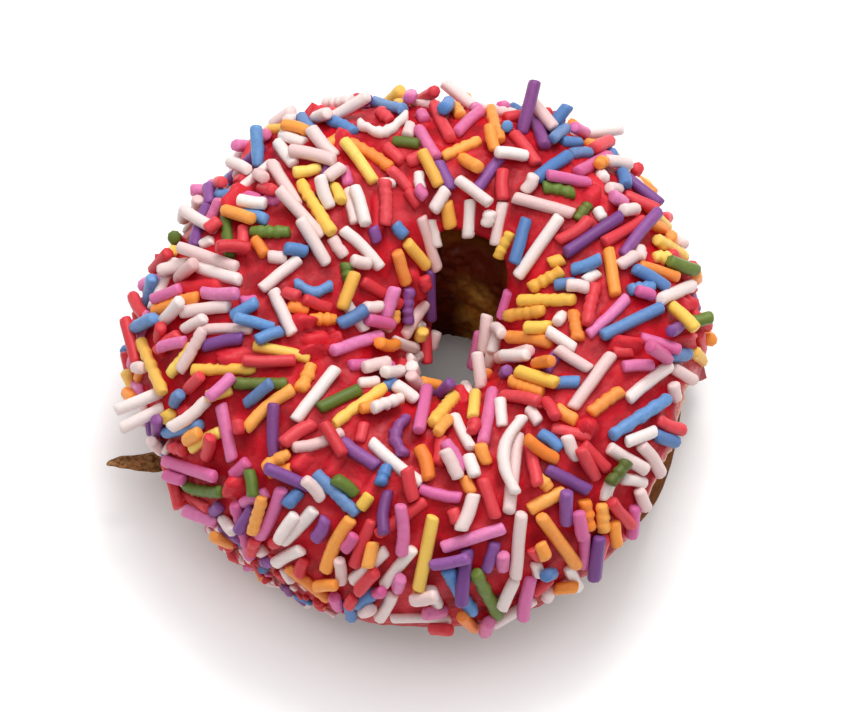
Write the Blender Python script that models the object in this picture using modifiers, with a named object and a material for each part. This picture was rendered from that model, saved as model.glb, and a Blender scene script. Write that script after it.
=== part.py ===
"""Ring doughnut: a fried dough ring with an off-centre hole, and a shell of set icing with sugar sprinkles fused to it.

The ring lies flat, with +Z up. Azimuth 0 is +X, and 90 degrees is +Y, the far side of the ring.
A cross-section's angle is 0 at the widest point, 90 degrees on top and 180 degrees inside the hole.
"""

import math
import random

import bmesh
import bpy
import numpy as np
from mathutils import Vector
from mathutils.bvhtree import BVHTree

MM = 0.001

# The bare ring, whose middle lies at SHIFT from the origin
SHIFT = (0.3 * MM, -0.4 * MM)
DOUGH_TOP = 28.4 * MM
WIDEST_AT = 13.0 * MM
THROAT_AT = 9.0 * MM
HOLE_CENTRE = (5.2 * MM, 0.1 * MM)
HOLE_HALF_X = 6.9 * MM
HOLE_HALF_Y = 8.8 * MM
SECTION_ROUNDNESS = 0.9
FLAT_FROM = 0.9
FLAT_EASE = 1.6
# Its outline: azimuth in degrees, then millimetres from the middle
OUTLINE = (
    (0, 38.5), (20, 38.4), (35, 39.6), (50, 40.2), (62, 39.7), (75, 38.2), (90, 37.3), (105, 37.5), (115, 38.6),
    (122, 39.6), (130, 37.2), (142, 36.5), (155, 37.0), (170, 37.3), (182, 37.9), (195, 37.3), (210, 35.8),
    (230, 34.6), (245, 34.6), (260, 35.9), (275, 36.4), (290, 37.7), (305, 38.3), (320, 38.8), (335, 39.4), (348, 38.9),
)
# How much higher or lower its top is, in millimetres
TOP_SWELLS = ((20, -0.5), (85, 0.2), (150, 0.5), (205, 0.0), (255, 0.4), (315, -0.2))
CRUST_WAVES = ((3, 2, 0.20 * MM, 40), (5, 3, 0.16 * MM, 200), (8, 1, 0.12 * MM, 110), (11, 5, 0.10 * MM, 300))

# The icing: the section angles at which it ends on the outside, and in the hole, by azimuth in degrees
EDGE = (
    (0, -8), (5, -14), (12, -13), (20, -7), (40, -9), (60, -16), (88, -6), (118, -18), (150, -7), (172, -17),
    (190, -7), (199, 2), (208, -10), (225, -24), (245, -22), (262, -13), (285, -17), (300, -10), (315, 2), (326, 18),
    (338, 29), (349, 30), (355, 16),
)
LIP = (
    (0, 174), (17, 165), (32, 136), (50, 121), (72, 117), (95, 121), (108, 140), (120, 165), (150, 176),
    (200, 169), (240, 180), (300, 170), (330, 176),
)
ICING_DEPTH = 1.7 * MM
ICING_EDGE_DEPTH = 1.15 * MM
ICING_TAPER = 0.12
ICING_BEAD = 0.45 * MM
BEAD_AT = 0.05
BEAD_WIDTH = 0.035
ICING_GAP = 0.5 * MM
ICING_WAVES = ((2, 1, 0.14 * MM, 60), (4, 3, 0.12 * MM, 170), (7, 2, 0.10 * MM, 20))
# A skirt of icing that set against the tray, and stands off the dough at the right
SKIRT_AT = 8.0
SKIRT_SPREAD = 9.5
SKIRT_STEEPNESS = 4
SKIRT_FLARE = 2.6 * MM
SKIRT_SHARE = 0.10
SKIRT_CURVE = 1.5

# A flake of crust that sticks out at the left
FLAKE_AT = 197.4
FLAKE_ROOT = 34.0 * MM
FLAKE_TIP = 46.3 * MM
FLAKE_HEIGHT = 7.7 * MM
FLAKE_HALF_WIDTH = 2.3 * MM
FLAKE_NARROWING = 0.4
FLAKE_HALF_THICKNESS = 0.42 * MM
FLAKE_RISE = 1.2 * MM
FLAKE_WAVE = 0.5 * MM
FLAKE_SWAYS = 5
FLAKE_CURLS = 7

# The sprinkles
SPRINKLE_SEED = 1
SPRINKLES = 900
FUSED_SPRINKLES = 150
SPRINKLE_RADIUS = 0.95 * MM
RADIUS_SPREAD = 0.08 * MM
LENGTHS = (
    (0.24, 2.3 * MM, 3.8 * MM),
    (0.50, 3.8 * MM, 6.2 * MM),
    (0.22, 6.2 * MM, 8.4 * MM),
    (0.04, 8.4 * MM, 10.8 * MM),
)
COLOURS = {"white": 27, "yellow": 9, "orange": 12, "pink": 12, "purple": 5, "blue": 8, "green": 2, "red": 17}
SPRINKLED_FROM = 0.07
SINK = (0.30 * MM, 0.60 * MM)
DROWNED_SHARE = 0.06
DROWNED_SINK = 1.1 * MM
STANDING_SHARE = 0.05
STANDING = (0.3, 0.8)
BEND_SPREAD = 0.02
# Most of them run outwards from the hole, within this many degrees
RADIAL_SHARE = 0.62
RADIAL_SPREAD = 28
# At the lower left the icing's edge is crushed, and no random sprinkle lies below this height
BROKEN_AT = 225
BROKEN_SPREAD = 24
BROKEN_TOP = 14.5 * MM
CONTACT = 0.90
CROSSING = 0.75
NEAR = 3 * MM
DEEPEST = 5 * MM
TRIES = 8
MOST_LEAN = 0.55
MOST_STACK = 1.9 * MM
PATH_SAMPLES = np.linspace(-1, 1, 9)
SPHERE_SPACING = 0.5 * MM
NOTHING_NEAR = -1.0
# The sprinkles that catch the eye, as seen from this high above the front: colour, then both ends in
# millimetres right of and above the ring's middle, the bow of a bent one, and 1 for one that sticks out
SEEN_FROM = 65
SEEN_MIDDLE = 15.5 * MM
SIGHT_REACH = 100 * MM
SIGHT_STEPS = range(-25, 26)
LONGEST = 12.0 * MM
STUCK_SHARE = 0.2
LEAST_STANDING = 0.15
LANDMARKS = (
    ("purple", 15.0, 31.5, 17.0, 39.5, 0, 1),
    ("white", 9.2, 35.5, 3.8, 40.0, 0, 1),
    ("white", 22.3, 32.6, 30.3, 33.6, 0, 1),
    ("blue", 18.7, 32.2, 22.0, 36.6, 0, 1),
    ("blue", -22.0, 27.3, -22.4, 33.6, 0, 1),
    ("pink", -28.0, 25.2, -33.2, 25.3, 0, 1),
    ("white", -34.5, -4.0, -41.7, -6.9, 0, 1),
    ("white", -34.5, -6.2, -41.0, -9.4, 0, 1),
    ("green", 38.0, 5.3, 42.1, 6.3, 0, 1),
    ("white", 10.1, -4.7, 9.3, 1.0, 0, 1),
    ("white", -8.2, 31.8, -0.5, 33.1, 2.4, 0),
    ("white", -20.5, 28.3, -16.5, 21.8, 0, 0),
    ("white", -19.3, 23.3, -12.9, 17.5, 0, 0),
    ("white", -16.5, 19.8, -12.2, 13.5, 0, 0),
    ("yellow", -16.5, 25.7, -11.5, 17.5, 0, 0),
    ("green", -23.3, 18.2, -17.5, 18.1, 0, 0),
    ("green", -34.5, 21.0, -34.8, 14.4, 0, 0),
    ("white", -21.8, 9.9, -16.2, 14.4, 0, 0),
    ("blue", -17.2, 9.6, -11.5, 9.3, 1.2, 0),
    ("white", -20.1, 10.1, -17.0, 3.4, 0, 0),
    ("yellow", -39.2, 3.6, -34.1, -5.2, 0, 0),
    ("pink", -26.9, -5.7, -25.1, -14.0, 0, 0),
    ("pink", -36.4, -13.4, -26.1, -16.2, 0, 0),
    ("white", -16.8, -8.6, -10.8, -0.9, 0, 0),
    ("green", -13.6, -6.9, -7.5, -4.0, 0, 0),
    ("blue", -13.9, -15.2, -7.6, -21.3, 0, 0),
    ("orange", -17.5, -28.2, -11.5, -33.0, 0, 0),
    ("purple", -2.6, -7.5, -3.0, -13.4, 1.3, 0),
    ("pink", 0.4, -10.9, 1.9, -3.3, 0, 0),
    ("white", 14.4, -9.8, 12.9, -21.3, 0, 0),
    ("white", 12.8, -7.2, 11.5, -19.8, 2.0, 0),
    ("pink", 9.6, -11.9, 11.1, -4.3, 0, 0),
    ("purple", 18.0, -14.8, 24.4, -18.0, 0, 0),
    ("white", 21.8, -6.9, 27.7, 1.1, 0, 0),
    ("blue", 27.0, -10.5, 35.5, -5.0, 0, 0),
    ("blue", 26.0, 3.4, 34.9, 7.5, 0, 0),
    ("white", 33.5, 8.2, 39.9, 11.1, 0, 0),
    ("yellow", 14.8, 8.5, 23.0, 8.6, 0, 0),
    ("white", 14.5, 11.8, 20.8, 20.7, 0, 0),
    ("white", 13.8, 23.3, 22.7, 20.8, 0, 0),
    ("white", 7.9, 23.3, 7.6, 17.5, 0, 0),
    ("white", 12.6, 23.0, 11.4, 16.4, 0, 0),
    ("white", 4.0, 19.6, 5.0, 15.2, 0, 0),
    ("blue", 16.1, 20.8, 14.8, 13.4, 0, 0),
    ("yellow", 13.7, 18.6, 11.5, 14.5, 0, 0),
    ("yellow", -1.6, 17.2, 1.6, 13.6, 0, 0),
    ("orange", -3.0, 16.0, -1.5, 11.0, 0, 0),
    ("yellow", 13.1, 6.4, 18.7, 7.1, 0, 0),
    ("yellow", 16.3, 10.1, 21.2, 12.8, 0, 0),
    ("orange", 22.5, 6.9, 23.1, 2.6, 0, 0),
    ("white", -1.2, -0.6, 1.2, -4.0, 0, 0),
    ("white", 2.2, 20.4, 4.6, 12.5, 0, 0),
    ("purple", 2.2, 13.6, 2.4, 6.0, 0, 0),
    ("purple", 21.0, 15.0, 29.5, 20.7, 0, 0),
    ("orange", 27.3, 15.8, 28.3, 8.9, 0, 0),
    ("pink", 0.4, 33.3, 3.2, 28.6, 0, 0),
    ("purple", 3.2, 28.6, 5.3, 24.3, 0, 0),
    ("yellow", 0.3, -32.8, 2.9, -19.8, 0, 0),
    ("pink", 3.6, -25.6, 12.6, -22.7, 0, 0),
    ("green", 8.2, -28.4, 11.9, -35.6, 0, 0),
    ("orange", 17.2, -21.0, 22.6, -28.4, 0, 0),
    ("white", 13.9, -29.9, 14.7, -20.5, 0, 0),
)

DOUGH_FINISH = ("browned_crust", (0.235, 0.098, 0.028), 0.6)
ICING_FINISH = ("set_icing", (0.62, 0.016, 0.032), 0.35)

# How finely the forms are cut up
DOUGH_SEGMENTS = (56, 18)
ICING_SEGMENTS = (56, 14)
SPARE_ROWS = 5
FLAKE_SEGMENTS = (8, 9)
SHARP_FROM = 50
SKIN_STEPS = (144, 56)
SPRINKLE_SIDES = 6
RING_BENDS = (0.35 * MM, 1.1 * MM)


def wrapped(angle, centre):
    """The angle from centre, in degrees, between -180 and 180."""
    return (np.degrees(angle) - centre + 180) % 360 - 180


def around(angle, knots):
    """The value at an azimuth of a smooth closed curve through (azimuth in degrees, value) knots."""
    turns = [(azimuth + turn, value) for turn in (-360, 0, 360) for azimuth, value in knots]
    at, value = np.array(turns, float).T
    slope = np.gradient(value, at)
    degrees = np.degrees(angle) % 360
    left = np.searchsorted(at, degrees, side="right") - 1
    width = at[left + 1] - at[left]
    t = (degrees - at[left]) / width
    start = value[left] * (1 + 2 * t) * (1 - t) ** 2 + slope[left] * width * t * (1 - t) ** 2
    return start + value[left + 1] * (3 - 2 * t) * t**2 - slope[left + 1] * width * (1 - t) * t**2


def ripple(phi, theta, waves):
    """The sum of slanting waves over the ring's surface."""
    return sum(size * np.cos(round_ * phi + over * theta - math.radians(lead)) for round_, over, size, lead in waves)


def dough_point(phi, theta):
    """A point on the dough at an azimuth and a section angle, in radians."""
    outer = around(phi, OUTLINE) * MM + ripple(phi, theta, CRUST_WAVES)
    reach = np.cos(theta)
    share = (1 + np.sign(reach) * np.abs(reach) ** SECTION_ROUNDNESS) / 2
    hole_x = HOLE_CENTRE[0] + HOLE_HALF_X * np.cos(phi)
    hole_y = HOLE_CENTRE[1] + HOLE_HALF_Y * np.sin(phi)
    x = hole_x + (outer * np.cos(phi) - hole_x) * share
    y = hole_y + (outer * np.sin(phi) - hole_y) * share
    rise = np.sin(theta)
    top = DOUGH_TOP + around(phi, TOP_SWELLS) * MM + ripple(phi, theta, CRUST_WAVES)
    side = THROAT_AT + (WIDEST_AT - THROAT_AT) * share
    above = side + (top - side) * np.maximum(rise, 0) ** SECTION_ROUNDNESS
    below = side * (1 - np.minimum(np.maximum(-rise, 0) / FLAT_FROM, 1)) ** FLAT_EASE
    z = np.where(rise >= 0, above, below)
    return np.stack([x + SHIFT[0], y + SHIFT[1], z], axis=-1)


def dough_normal(phi, theta):
    """The outward normal of the dough."""
    step = 0.02
    round_ = dough_point(phi + step, theta) - dough_point(phi - step, theta)
    over = dough_point(phi, theta + step) - dough_point(phi, theta - step)
    normal = np.cross(round_, over)
    return normal / np.linalg.norm(normal, axis=-1, keepdims=True)


def icing_angle(phi, across):
    """The section angle of a point of the icing; across is 0 at its outer edge and 1 at its lip in the hole."""
    edge = around(phi, EDGE)
    return np.radians(edge + (around(phi, LIP) - edge) * across)


def icing_depth(phi, across):
    """The icing's thickness: thin at both edges, with a bead along the outer one."""
    from_edge = np.minimum(across, 1 - across)
    depth = ICING_EDGE_DEPTH + (ICING_DEPTH - ICING_EDGE_DEPTH) * (1 - np.exp(-((from_edge / ICING_TAPER) ** 2)))
    bead = ICING_BEAD * np.exp(-(((across - BEAD_AT) / BEAD_WIDTH) ** 2))
    return depth + bead + ripple(phi, icing_angle(phi, across), ICING_WAVES)


def skirt_zone(phi):
    """1 along the skirt, falling steeply to 0 past its ends."""
    return np.exp(-(np.abs(wrapped(phi, SKIRT_AT) / SKIRT_SPREAD) ** SKIRT_STEEPNESS))


def skirt_flare(phi, across):
    """How far the skirt stands off the dough."""
    down = np.maximum(1 - across / SKIRT_SHARE, 0)
    return SKIRT_FLARE * down**SKIRT_CURVE * skirt_zone(phi)


def icing_under(phi, across):
    """A point on the icing's inner face."""
    theta = icing_angle(phi, across)
    lift = ICING_GAP + skirt_flare(phi, across)
    return dough_point(phi, theta) + dough_normal(phi, theta) * lift[..., None]


def icing_skin(phi, across):
    """A point on the icing's outer face."""
    theta = icing_angle(phi, across)
    lift = ICING_GAP + skirt_flare(phi, across) + icing_depth(phi, across)
    return dough_point(phi, theta) + dough_normal(phi, theta) * lift[..., None]


class Skin:
    """The icing's outer face as a fine grid, for laying sprinkles on."""

    def __init__(self):
        rounds, rows = SKIN_STEPS
        phi, across = np.meshgrid(
            np.arange(rounds) * 2 * math.pi / rounds, np.linspace(0.02, 0.98, rows), indexing="ij"
        )
        self.points = icing_skin(phi, across)
        following = np.roll(self.points, -1, axis=0)
        self.corners = np.stack(
            [self.points[:, :-1], following[:, :-1], following[:, 1:], self.points[:, 1:]], axis=2
        ).reshape(-1, 4, 3)
        diagonals = np.cross(self.corners[:, 2] - self.corners[:, 0], self.corners[:, 3] - self.corners[:, 1])
        sprinkled = (across[:, :-1] > SPRINKLED_FROM).ravel()
        self.areas = np.cumsum(np.linalg.norm(diagonals, axis=1) * sprinkled)
        self.tree = BVHTree.FromPolygons(
            [Vector(c) for c in self.corners.reshape(-1, 3)],
            [tuple(range(4 * i, 4 * i + 4)) for i in range(len(self.corners))],
        )

    def any_point(self, draw):
        """A random point, as likely on each square millimetre."""
        face = int(np.searchsorted(self.areas, draw.random() * self.areas[-1]))
        u, v = draw.random(), draw.random()
        a, b, c, d = self.corners[face]
        return Vector((a * (1 - u) + b * u) * (1 - v) + (d * (1 - u) + c * u) * v)

    def normal(self, point):
        return self.tree.find_nearest(point)[1]

    def height(self, point, up):
        """How far the skin lies above a point, along up, or None where there is none near."""
        hit = self.tree.ray_cast(point + up * DEEPEST, -up, 2 * DEEPEST)
        return None if hit[0] is None else DEEPEST - hit[3]


class Sprinkle:
    """A thin rod of sugar: where its middle lies, which way it runs, and how it rests."""

    def __init__(self, colour, length, radius, bend, sink, drowned=False):
        self.colour = colour
        self.length = length
        self.radius = radius
        self.bend = bend
        self.sink = sink
        self.drowned = drowned

    def lay(self, middle, along, up, height=0.0, lean=0.0):
        """Places the rod on the tangent plane, height above it and leaning along its length."""
        self.middle = middle
        self.up = up
        self.along = (along - up * along.dot(up)).normalized()
        self.side = self.up.cross(self.along)
        self.height = height
        self.lean = lean

    def reach(self, shares):
        """How far from its middle each share of its length lies, along the tangent plane."""
        return (self.length / 2 - self.radius) / math.hypot(1, self.lean) * shares

    def path(self, shares=PATH_SAMPLES):
        """Points of its middle line, with -1 and 1 at the centres of its rounded ends."""
        reach = self.reach(shares)
        flat = np.outer(reach, self.along) + np.outer(self.bend * shares**2, self.side)
        return np.array(self.middle) + flat + np.outer(self.height + self.lean * reach, self.up)

    def needs(self, skin, spheres):
        """The least height of each sample of its path, above the icing and the sprinkles already there."""
        feet = self.path()
        feet -= np.outer((feet - np.array(self.middle)) @ np.array(self.up), self.up)
        over_skin = [skin.height(Vector(foot), self.up) for foot in feet]
        least = np.array([NOTHING_NEAR if h is None else h + self.radius - self.sink for h in over_skin])
        if len(spheres):
            near = spheres[np.linalg.norm(spheres[:, :3] - self.middle, axis=1) < self.length / 2 + NEAR]
            above = (near[:, :3] - self.middle) @ np.array(self.up)
            flat = near[:, :3] - np.outer(above, self.up)
            gap = np.linalg.norm(feet[:, None] - flat[None], axis=2)
            touch = CONTACT * (self.radius + near[:, 3])[None]
            rise = np.where(gap < touch, above[None] + np.sqrt(np.maximum(touch**2 - gap**2, 0)), NOTHING_NEAR)
            least = np.maximum(least, rise.max(axis=1, initial=NOTHING_NEAR))
        return least

    def crosses(self, spheres):
        """Whether it would lie across any of these."""
        offset = spheres[None, :, :3] - self.path()[:, None]
        above = offset @ np.array(self.up)
        flat = np.sqrt(np.maximum((offset**2).sum(axis=2) - above**2, 0))
        touch = CROSSING * (self.radius + spheres[None, :, 3])
        return bool(((flat < touch) & (np.abs(above) < NEAR)).any())

    def settle(self, skin, spheres, standing=0.0):
        """Lowers the rod until it rests on both sides of its middle. Returns False where it can't lie."""
        self.height = 0.0
        self.lean = standing
        reach = self.reach(PATH_SAMPLES)
        least = self.needs(skin, spheres)
        mid = len(reach) // 2
        if standing:
            self.height = float(np.max(least - standing * reach))
            return True
        if min(least[mid], least[1], least[-2]) == NOTHING_NEAR:
            return False
        self.height = float(least[mid])
        for i in range(mid):
            for j in range(mid + 1, len(reach)):
                level = (least[i] * reach[j] - least[j] * reach[i]) / (reach[j] - reach[i])
                self.height = max(self.height, float(level))
        low = float(np.max((least[mid + 1 :] - self.height) / reach[mid + 1 :]))
        high = float(np.min((least[:mid] - self.height) / reach[:mid]))
        self.lean = min(max(0.0, low), high)
        return True

    def spheres(self):
        count = max(2, int(self.length / SPHERE_SPACING))
        points = self.path(np.linspace(-1, 1, count))
        return np.column_stack([points, np.full(count, self.radius)])


def drawn_length(draw):
    pick = draw.random() * sum(share for share, _, _ in LENGTHS)
    for share, low, high in LENGTHS:
        pick -= share
        if pick <= 0:
            break
    return draw.uniform(low, high)


def drawn_colour(draw):
    return draw.choices(list(COLOURS), list(COLOURS.values()))[0]


def seen_point(right, above):
    """A point of the plane that faces the eye through the ring's middle, from millimetres right and above."""
    tilt = math.radians(SEEN_FROM)
    middle = Vector((*SHIFT, SEEN_MIDDLE))
    return middle + Vector((right, above * math.sin(tilt), above * math.cos(tilt))) * MM


def landmark(skin, spheres, colour, x1, y1, x2, y2, bow, sticks_out):
    """A sprinkle whose ends appear at two points as seen by the eye."""
    tilt = math.radians(SEEN_FROM)
    sight = Vector((0, math.cos(tilt), -math.sin(tilt)))
    start = seen_point(x1, y1)
    end = seen_point(x2, y2)
    aim = start.lerp(end, STUCK_SHARE if sticks_out else 0.5)
    foot, up, _, _ = skin.tree.ray_cast(aim - sight * SIGHT_REACH, sight)
    if foot is None:
        steps = [aim + sight * (step * MM) for step in SIGHT_STEPS]
        foot, up, _, _ = min((skin.tree.find_nearest(point) for point in steps), key=lambda found: found[3])
    run = end - start
    if sticks_out:
        length = run.length
        level = run - up * run.dot(up)
        standing = max(run.dot(up) / level.length, LEAST_STANDING)
        middle = foot + level.normalized() * (length * (0.5 - STUCK_SHARE) / math.hypot(1, standing))
    else:
        run = run - sight * (run.dot(up) / sight.dot(up))
        length = min(run.length, LONGEST)
        standing = 0.0
        middle = foot
    made = Sprinkle(colour, length, SPRINKLE_RADIUS, bow * MM, SINK[0])
    made.lay(middle, run, up)
    made.settle(skin, spheres, standing)
    return made


def scatter(skin):
    """Every sprinkle: landmarks, then the longest first, each resting on the icing or on those before it."""
    draw = random.Random(SPRINKLE_SEED)
    laid = []
    spheres = np.zeros((0, 4))
    for row in LANDMARKS:
        laid.append(landmark(skin, spheres, *row))
        spheres = np.vstack([spheres, laid[-1].spheres()])
    in_sight = len(spheres)
    lengths = sorted((drawn_length(draw) for _ in range(SPRINKLES - len(laid))), reverse=True)
    longest = FUSED_SPRINKLES - len(laid)
    first, rest = lengths[:longest], lengths[longest:]
    draw.shuffle(first)
    draw.shuffle(rest)
    for number, length in enumerate(first + rest):
        drowned = number >= longest and draw.random() < DROWNED_SHARE
        radius = SPRINKLE_RADIUS + draw.uniform(-RADIUS_SPREAD, RADIUS_SPREAD)
        bend = draw.gauss(0, BEND_SPREAD) * length
        sink = DROWNED_SINK if drowned else draw.uniform(*SINK)
        standing = draw.uniform(*STANDING) if draw.random() < STANDING_SHARE else 0.0
        spread = math.radians(RADIAL_SPREAD if draw.random() < RADIAL_SHARE else 90)
        sprinkle = Sprinkle(drawn_colour(draw), length, radius, bend, sink, drowned)
        if drop(sprinkle, skin, spheres, in_sight, standing, spread, draw):
            laid.append(sprinkle)
            spheres = np.vstack([spheres, sprinkle.spheres()])
    return laid


def drop(sprinkle, skin, spheres, in_sight, standing, spread, draw):
    """Lays the sprinkle at the lowest of a few random places, clear of the landmarks, whose spheres come first.

    It runs outwards from the hole, or inwards, within the spread, and keeps off the icing's crushed edge.
    Returns False where no place will do.
    """
    hole = Vector((HOLE_CENTRE[0] + SHIFT[0], HOLE_CENTRE[1] + SHIFT[1], 0))
    best = None
    for _ in range(TRIES):
        middle = skin.any_point(draw)
        turn = draw.uniform(-spread, spread) + math.pi * draw.randint(0, 1)
        off_break = abs(wrapped(math.atan2(middle.y, middle.x), BROKEN_AT)) > BROKEN_SPREAD
        if middle.z < BROKEN_TOP and not off_break:
            continue
        up = skin.normal(middle)
        outward = (middle - hole) * Vector((1, 1, 0))
        outward = (outward - up * outward.dot(up)).normalized()
        along = outward * math.cos(turn) + up.cross(outward) * math.sin(turn)
        sprinkle.lay(middle, along, up)
        if sprinkle.crosses(spheres[:in_sight]) or not sprinkle.settle(skin, spheres, standing):
            continue
        too_steep = abs(sprinkle.lean) > max(MOST_LEAN, standing)
        too_high = sprinkle.height > MOST_STACK + standing * sprinkle.length / 2
        if too_steep or too_high or (best and sprinkle.height >= best[0]):
            continue
        best = (sprinkle.height, sprinkle.lean, middle, along, up)
    if best:
        height, lean, middle, along, up = best
        sprinkle.lay(middle, along, up, height, lean)
    return best is not None


def clear_scene():
    for obj in list(bpy.data.objects):
        bpy.data.objects.remove(obj, do_unlink=True)


def new_collection(name):
    made = bpy.data.collections.new(name)
    bpy.context.scene.collection.children.link(made)
    return made


def take(name, home):
    """Names the object that an operator has just added, and moves it to its collection."""
    obj = bpy.context.object
    obj.name = name
    for old in list(obj.users_collection):
        old.objects.unlink(obj)
    home.objects.link(obj)
    return obj


def finish(obj, name, colour, roughness):
    made = bpy.data.materials.new(name)
    made.use_nodes = True
    shader = made.node_tree.nodes["Principled BSDF"]
    shader.inputs["Base Color"].default_value = (*colour, 1)
    shader.inputs["Roughness"].default_value = roughness
    shader.inputs["Metallic"].default_value = 0.0
    obj.data.materials.clear()
    obj.data.materials.append(made)
    obj.data.shade_smooth()
    obj.data.set_sharp_from_angle(angle=math.radians(SHARP_FROM))


def set_points(obj, points):
    obj.data.vertices.foreach_set("co", np.asarray(points, np.float32).ravel())
    obj.data.update()


def get_points(obj):
    points = np.empty(len(obj.data.vertices) * 3)
    obj.data.vertices.foreach_get("co", points)
    return points.reshape(-1, 3)


def unit_ring(name, home, segments):
    """A torus primitive, with the azimuth and the section angle of each of its vertices."""
    bpy.ops.mesh.primitive_torus_add(
        major_segments=segments[0], minor_segments=segments[1], major_radius=2, minor_radius=1
    )
    ring = take(name, home)
    points = get_points(ring)
    phi = np.arctan2(points[:, 1], points[:, 0])
    theta = np.arctan2(points[:, 2], np.hypot(points[:, 0], points[:, 1]) - 2)
    return ring, phi, theta


def fuse(obj, helpers):
    """Joins the helpers to the object with one Boolean union, and removes them."""
    union = obj.modifiers.new("fuse", "BOOLEAN")
    union.operation = "UNION"
    union.operand_type = "COLLECTION"
    union.collection = helpers
    union.solver = "EXACT"
    graph = bpy.context.evaluated_depsgraph_get()
    joined = bpy.data.meshes.new_from_object(obj.evaluated_get(graph))
    obj.modifiers.clear()
    obj.data = joined
    for helper in list(helpers.objects):
        bpy.data.objects.remove(helper, do_unlink=True)
    bpy.data.collections.remove(helpers)
    keep_largest_shell(obj)


def keep_largest_shell(obj):
    """Drops loose scraps and sealed hollows, which are the smaller shells."""
    mesh = obj.data
    label = np.arange(len(mesh.vertices))
    ends = np.empty(len(mesh.edges) * 2, np.int32)
    mesh.edges.foreach_get("vertices", ends)
    ends = ends.reshape(-1, 2)
    while True:
        least = np.minimum(label[ends[:, 0]], label[ends[:, 1]])
        before = label.copy()
        np.minimum.at(label, ends[:, 0], least)
        np.minimum.at(label, ends[:, 1], least)
        if (label == before).all():
            break
    names, counts = np.unique(label, return_counts=True)
    largest = names[counts.argmax()]
    work = bmesh.new()
    work.from_mesh(mesh)
    work.verts.ensure_lookup_table()
    loose = [work.verts[int(i)] for i in np.flatnonzero(label != largest)]
    bmesh.ops.delete(work, geom=loose, context="VERTS")
    work.to_mesh(mesh)
    work.free()


def add_dough(home):
    """The ring itself, from a torus, with the flake of crust at its left."""
    dough, phi, theta = unit_ring("dough", home, DOUGH_SEGMENTS)
    set_points(dough, dough_point(phi, theta))
    crags = new_collection("crags")
    add_flake(crags)
    fuse(dough, crags)
    finish(dough, *DOUGH_FINISH)


def add_flake(home):
    """A thin leaf of crust that points away from the ring, with a wavy blade."""
    segments, rings = FLAKE_SEGMENTS
    bpy.ops.mesh.primitive_uv_sphere_add(segments=segments, ring_count=rings, radius=1)
    flake = take("flake", home)
    breadth, thickness, height = get_points(flake).T
    share = (height + 1) / 2
    turn = math.radians(FLAKE_AT)
    reach = FLAKE_ROOT + (FLAKE_TIP - FLAKE_ROOT) * share
    width = FLAKE_HALF_WIDTH * (1 - FLAKE_NARROWING * share)
    sideways = breadth * width + FLAKE_WAVE * np.sin(FLAKE_SWAYS * share)
    curl = FLAKE_RISE * share**2 + FLAKE_WAVE * np.sin(FLAKE_CURLS * share + 1) + FLAKE_WAVE * breadth
    x = SHIFT[0] + reach * math.cos(turn) - sideways * math.sin(turn)
    y = SHIFT[1] + reach * math.sin(turn) + sideways * math.cos(turn)
    z = FLAKE_HEIGHT + curl + thickness * FLAKE_HALF_THICKNESS
    set_points(flake, np.stack([x, y, z], axis=-1))


def add_icing(home):
    """The icing's inner face, cut from a torus, thickened outwards."""
    rounds, rows = ICING_SEGMENTS
    turn_rows = rows + SPARE_ROWS
    icing, phi, theta = unit_ring("icing", home, (rounds, turn_rows))
    work = bmesh.new()
    work.from_mesh(icing.data)
    work.verts.ensure_lookup_table()
    row = np.round((theta % (2 * math.pi)) / (2 * math.pi) * turn_rows).astype(int)
    spare = [work.verts[int(i)] for i in np.flatnonzero(row >= rows)]
    bmesh.ops.delete(work, geom=spare, context="VERTS")
    work.to_mesh(icing.data)
    work.free()
    kept = row < rows
    phi, across = phi[kept], row[kept] / (rows - 1)
    set_points(icing, icing_under(phi, across))
    depths = icing_depth(phi, across)
    group = icing.vertex_groups.new(name="depth")
    for index, depth in enumerate(depths):
        group.add([index], float(depth / depths.max()), "REPLACE")
    shell = icing.modifiers.new("shell", "SOLIDIFY")
    shell.thickness = float(depths.max())
    shell.offset = 1
    shell.vertex_group = group.name
    shell.use_even_offset = False
    graph = bpy.context.evaluated_depsgraph_get()
    solid = bpy.data.meshes.new_from_object(icing.evaluated_get(graph))
    icing.modifiers.clear()
    icing.data = solid
    return icing


def add_rod(sprinkle, home):
    """One sprinkle, from a sphere drawn out along its path: its poles are the ends, its rings lie between."""
    rings = 2 + sum(2 for bend in RING_BENDS if abs(sprinkle.bend) > bend)
    bpy.ops.mesh.primitive_uv_sphere_add(segments=SPRINKLE_SIDES, ring_count=rings + 1, radius=1)
    rod = take("rod", home)
    points = get_points(rod)
    step = np.round(np.arccos(np.clip(-points[:, 2], -1, 1)) / math.pi * (rings + 1))
    pole = (step == 0) | (step == rings + 1)
    shares = np.clip(2 * (step - 1) / (rings - 1) - 1, -1, 1)
    spin = np.arctan2(points[:, 1], points[:, 0])
    half_width = np.where(pole, 0, sprinkle.radius / math.cos(math.pi / SPRINKLE_SIDES) ** 0.5)
    across = np.outer(np.cos(spin), sprinkle.side) + np.outer(np.sin(spin), sprinkle.up)
    ends = np.outer(np.where(pole, shares * sprinkle.radius, 0), sprinkle.along)
    set_points(rod, sprinkle.path(shares) + ends + across * half_width[:, None])


def main():
    clear_scene()
    home = new_collection("doughnut")
    add_dough(home)
    icing = add_icing(home)
    sprinkles = new_collection("sprinkles")
    for sprinkle in scatter(Skin())[:FUSED_SPRINKLES]:
        add_rod(sprinkle, sprinkles)
    fuse(icing, sprinkles)
    finish(icing, *ICING_FINISH)


main()
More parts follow.
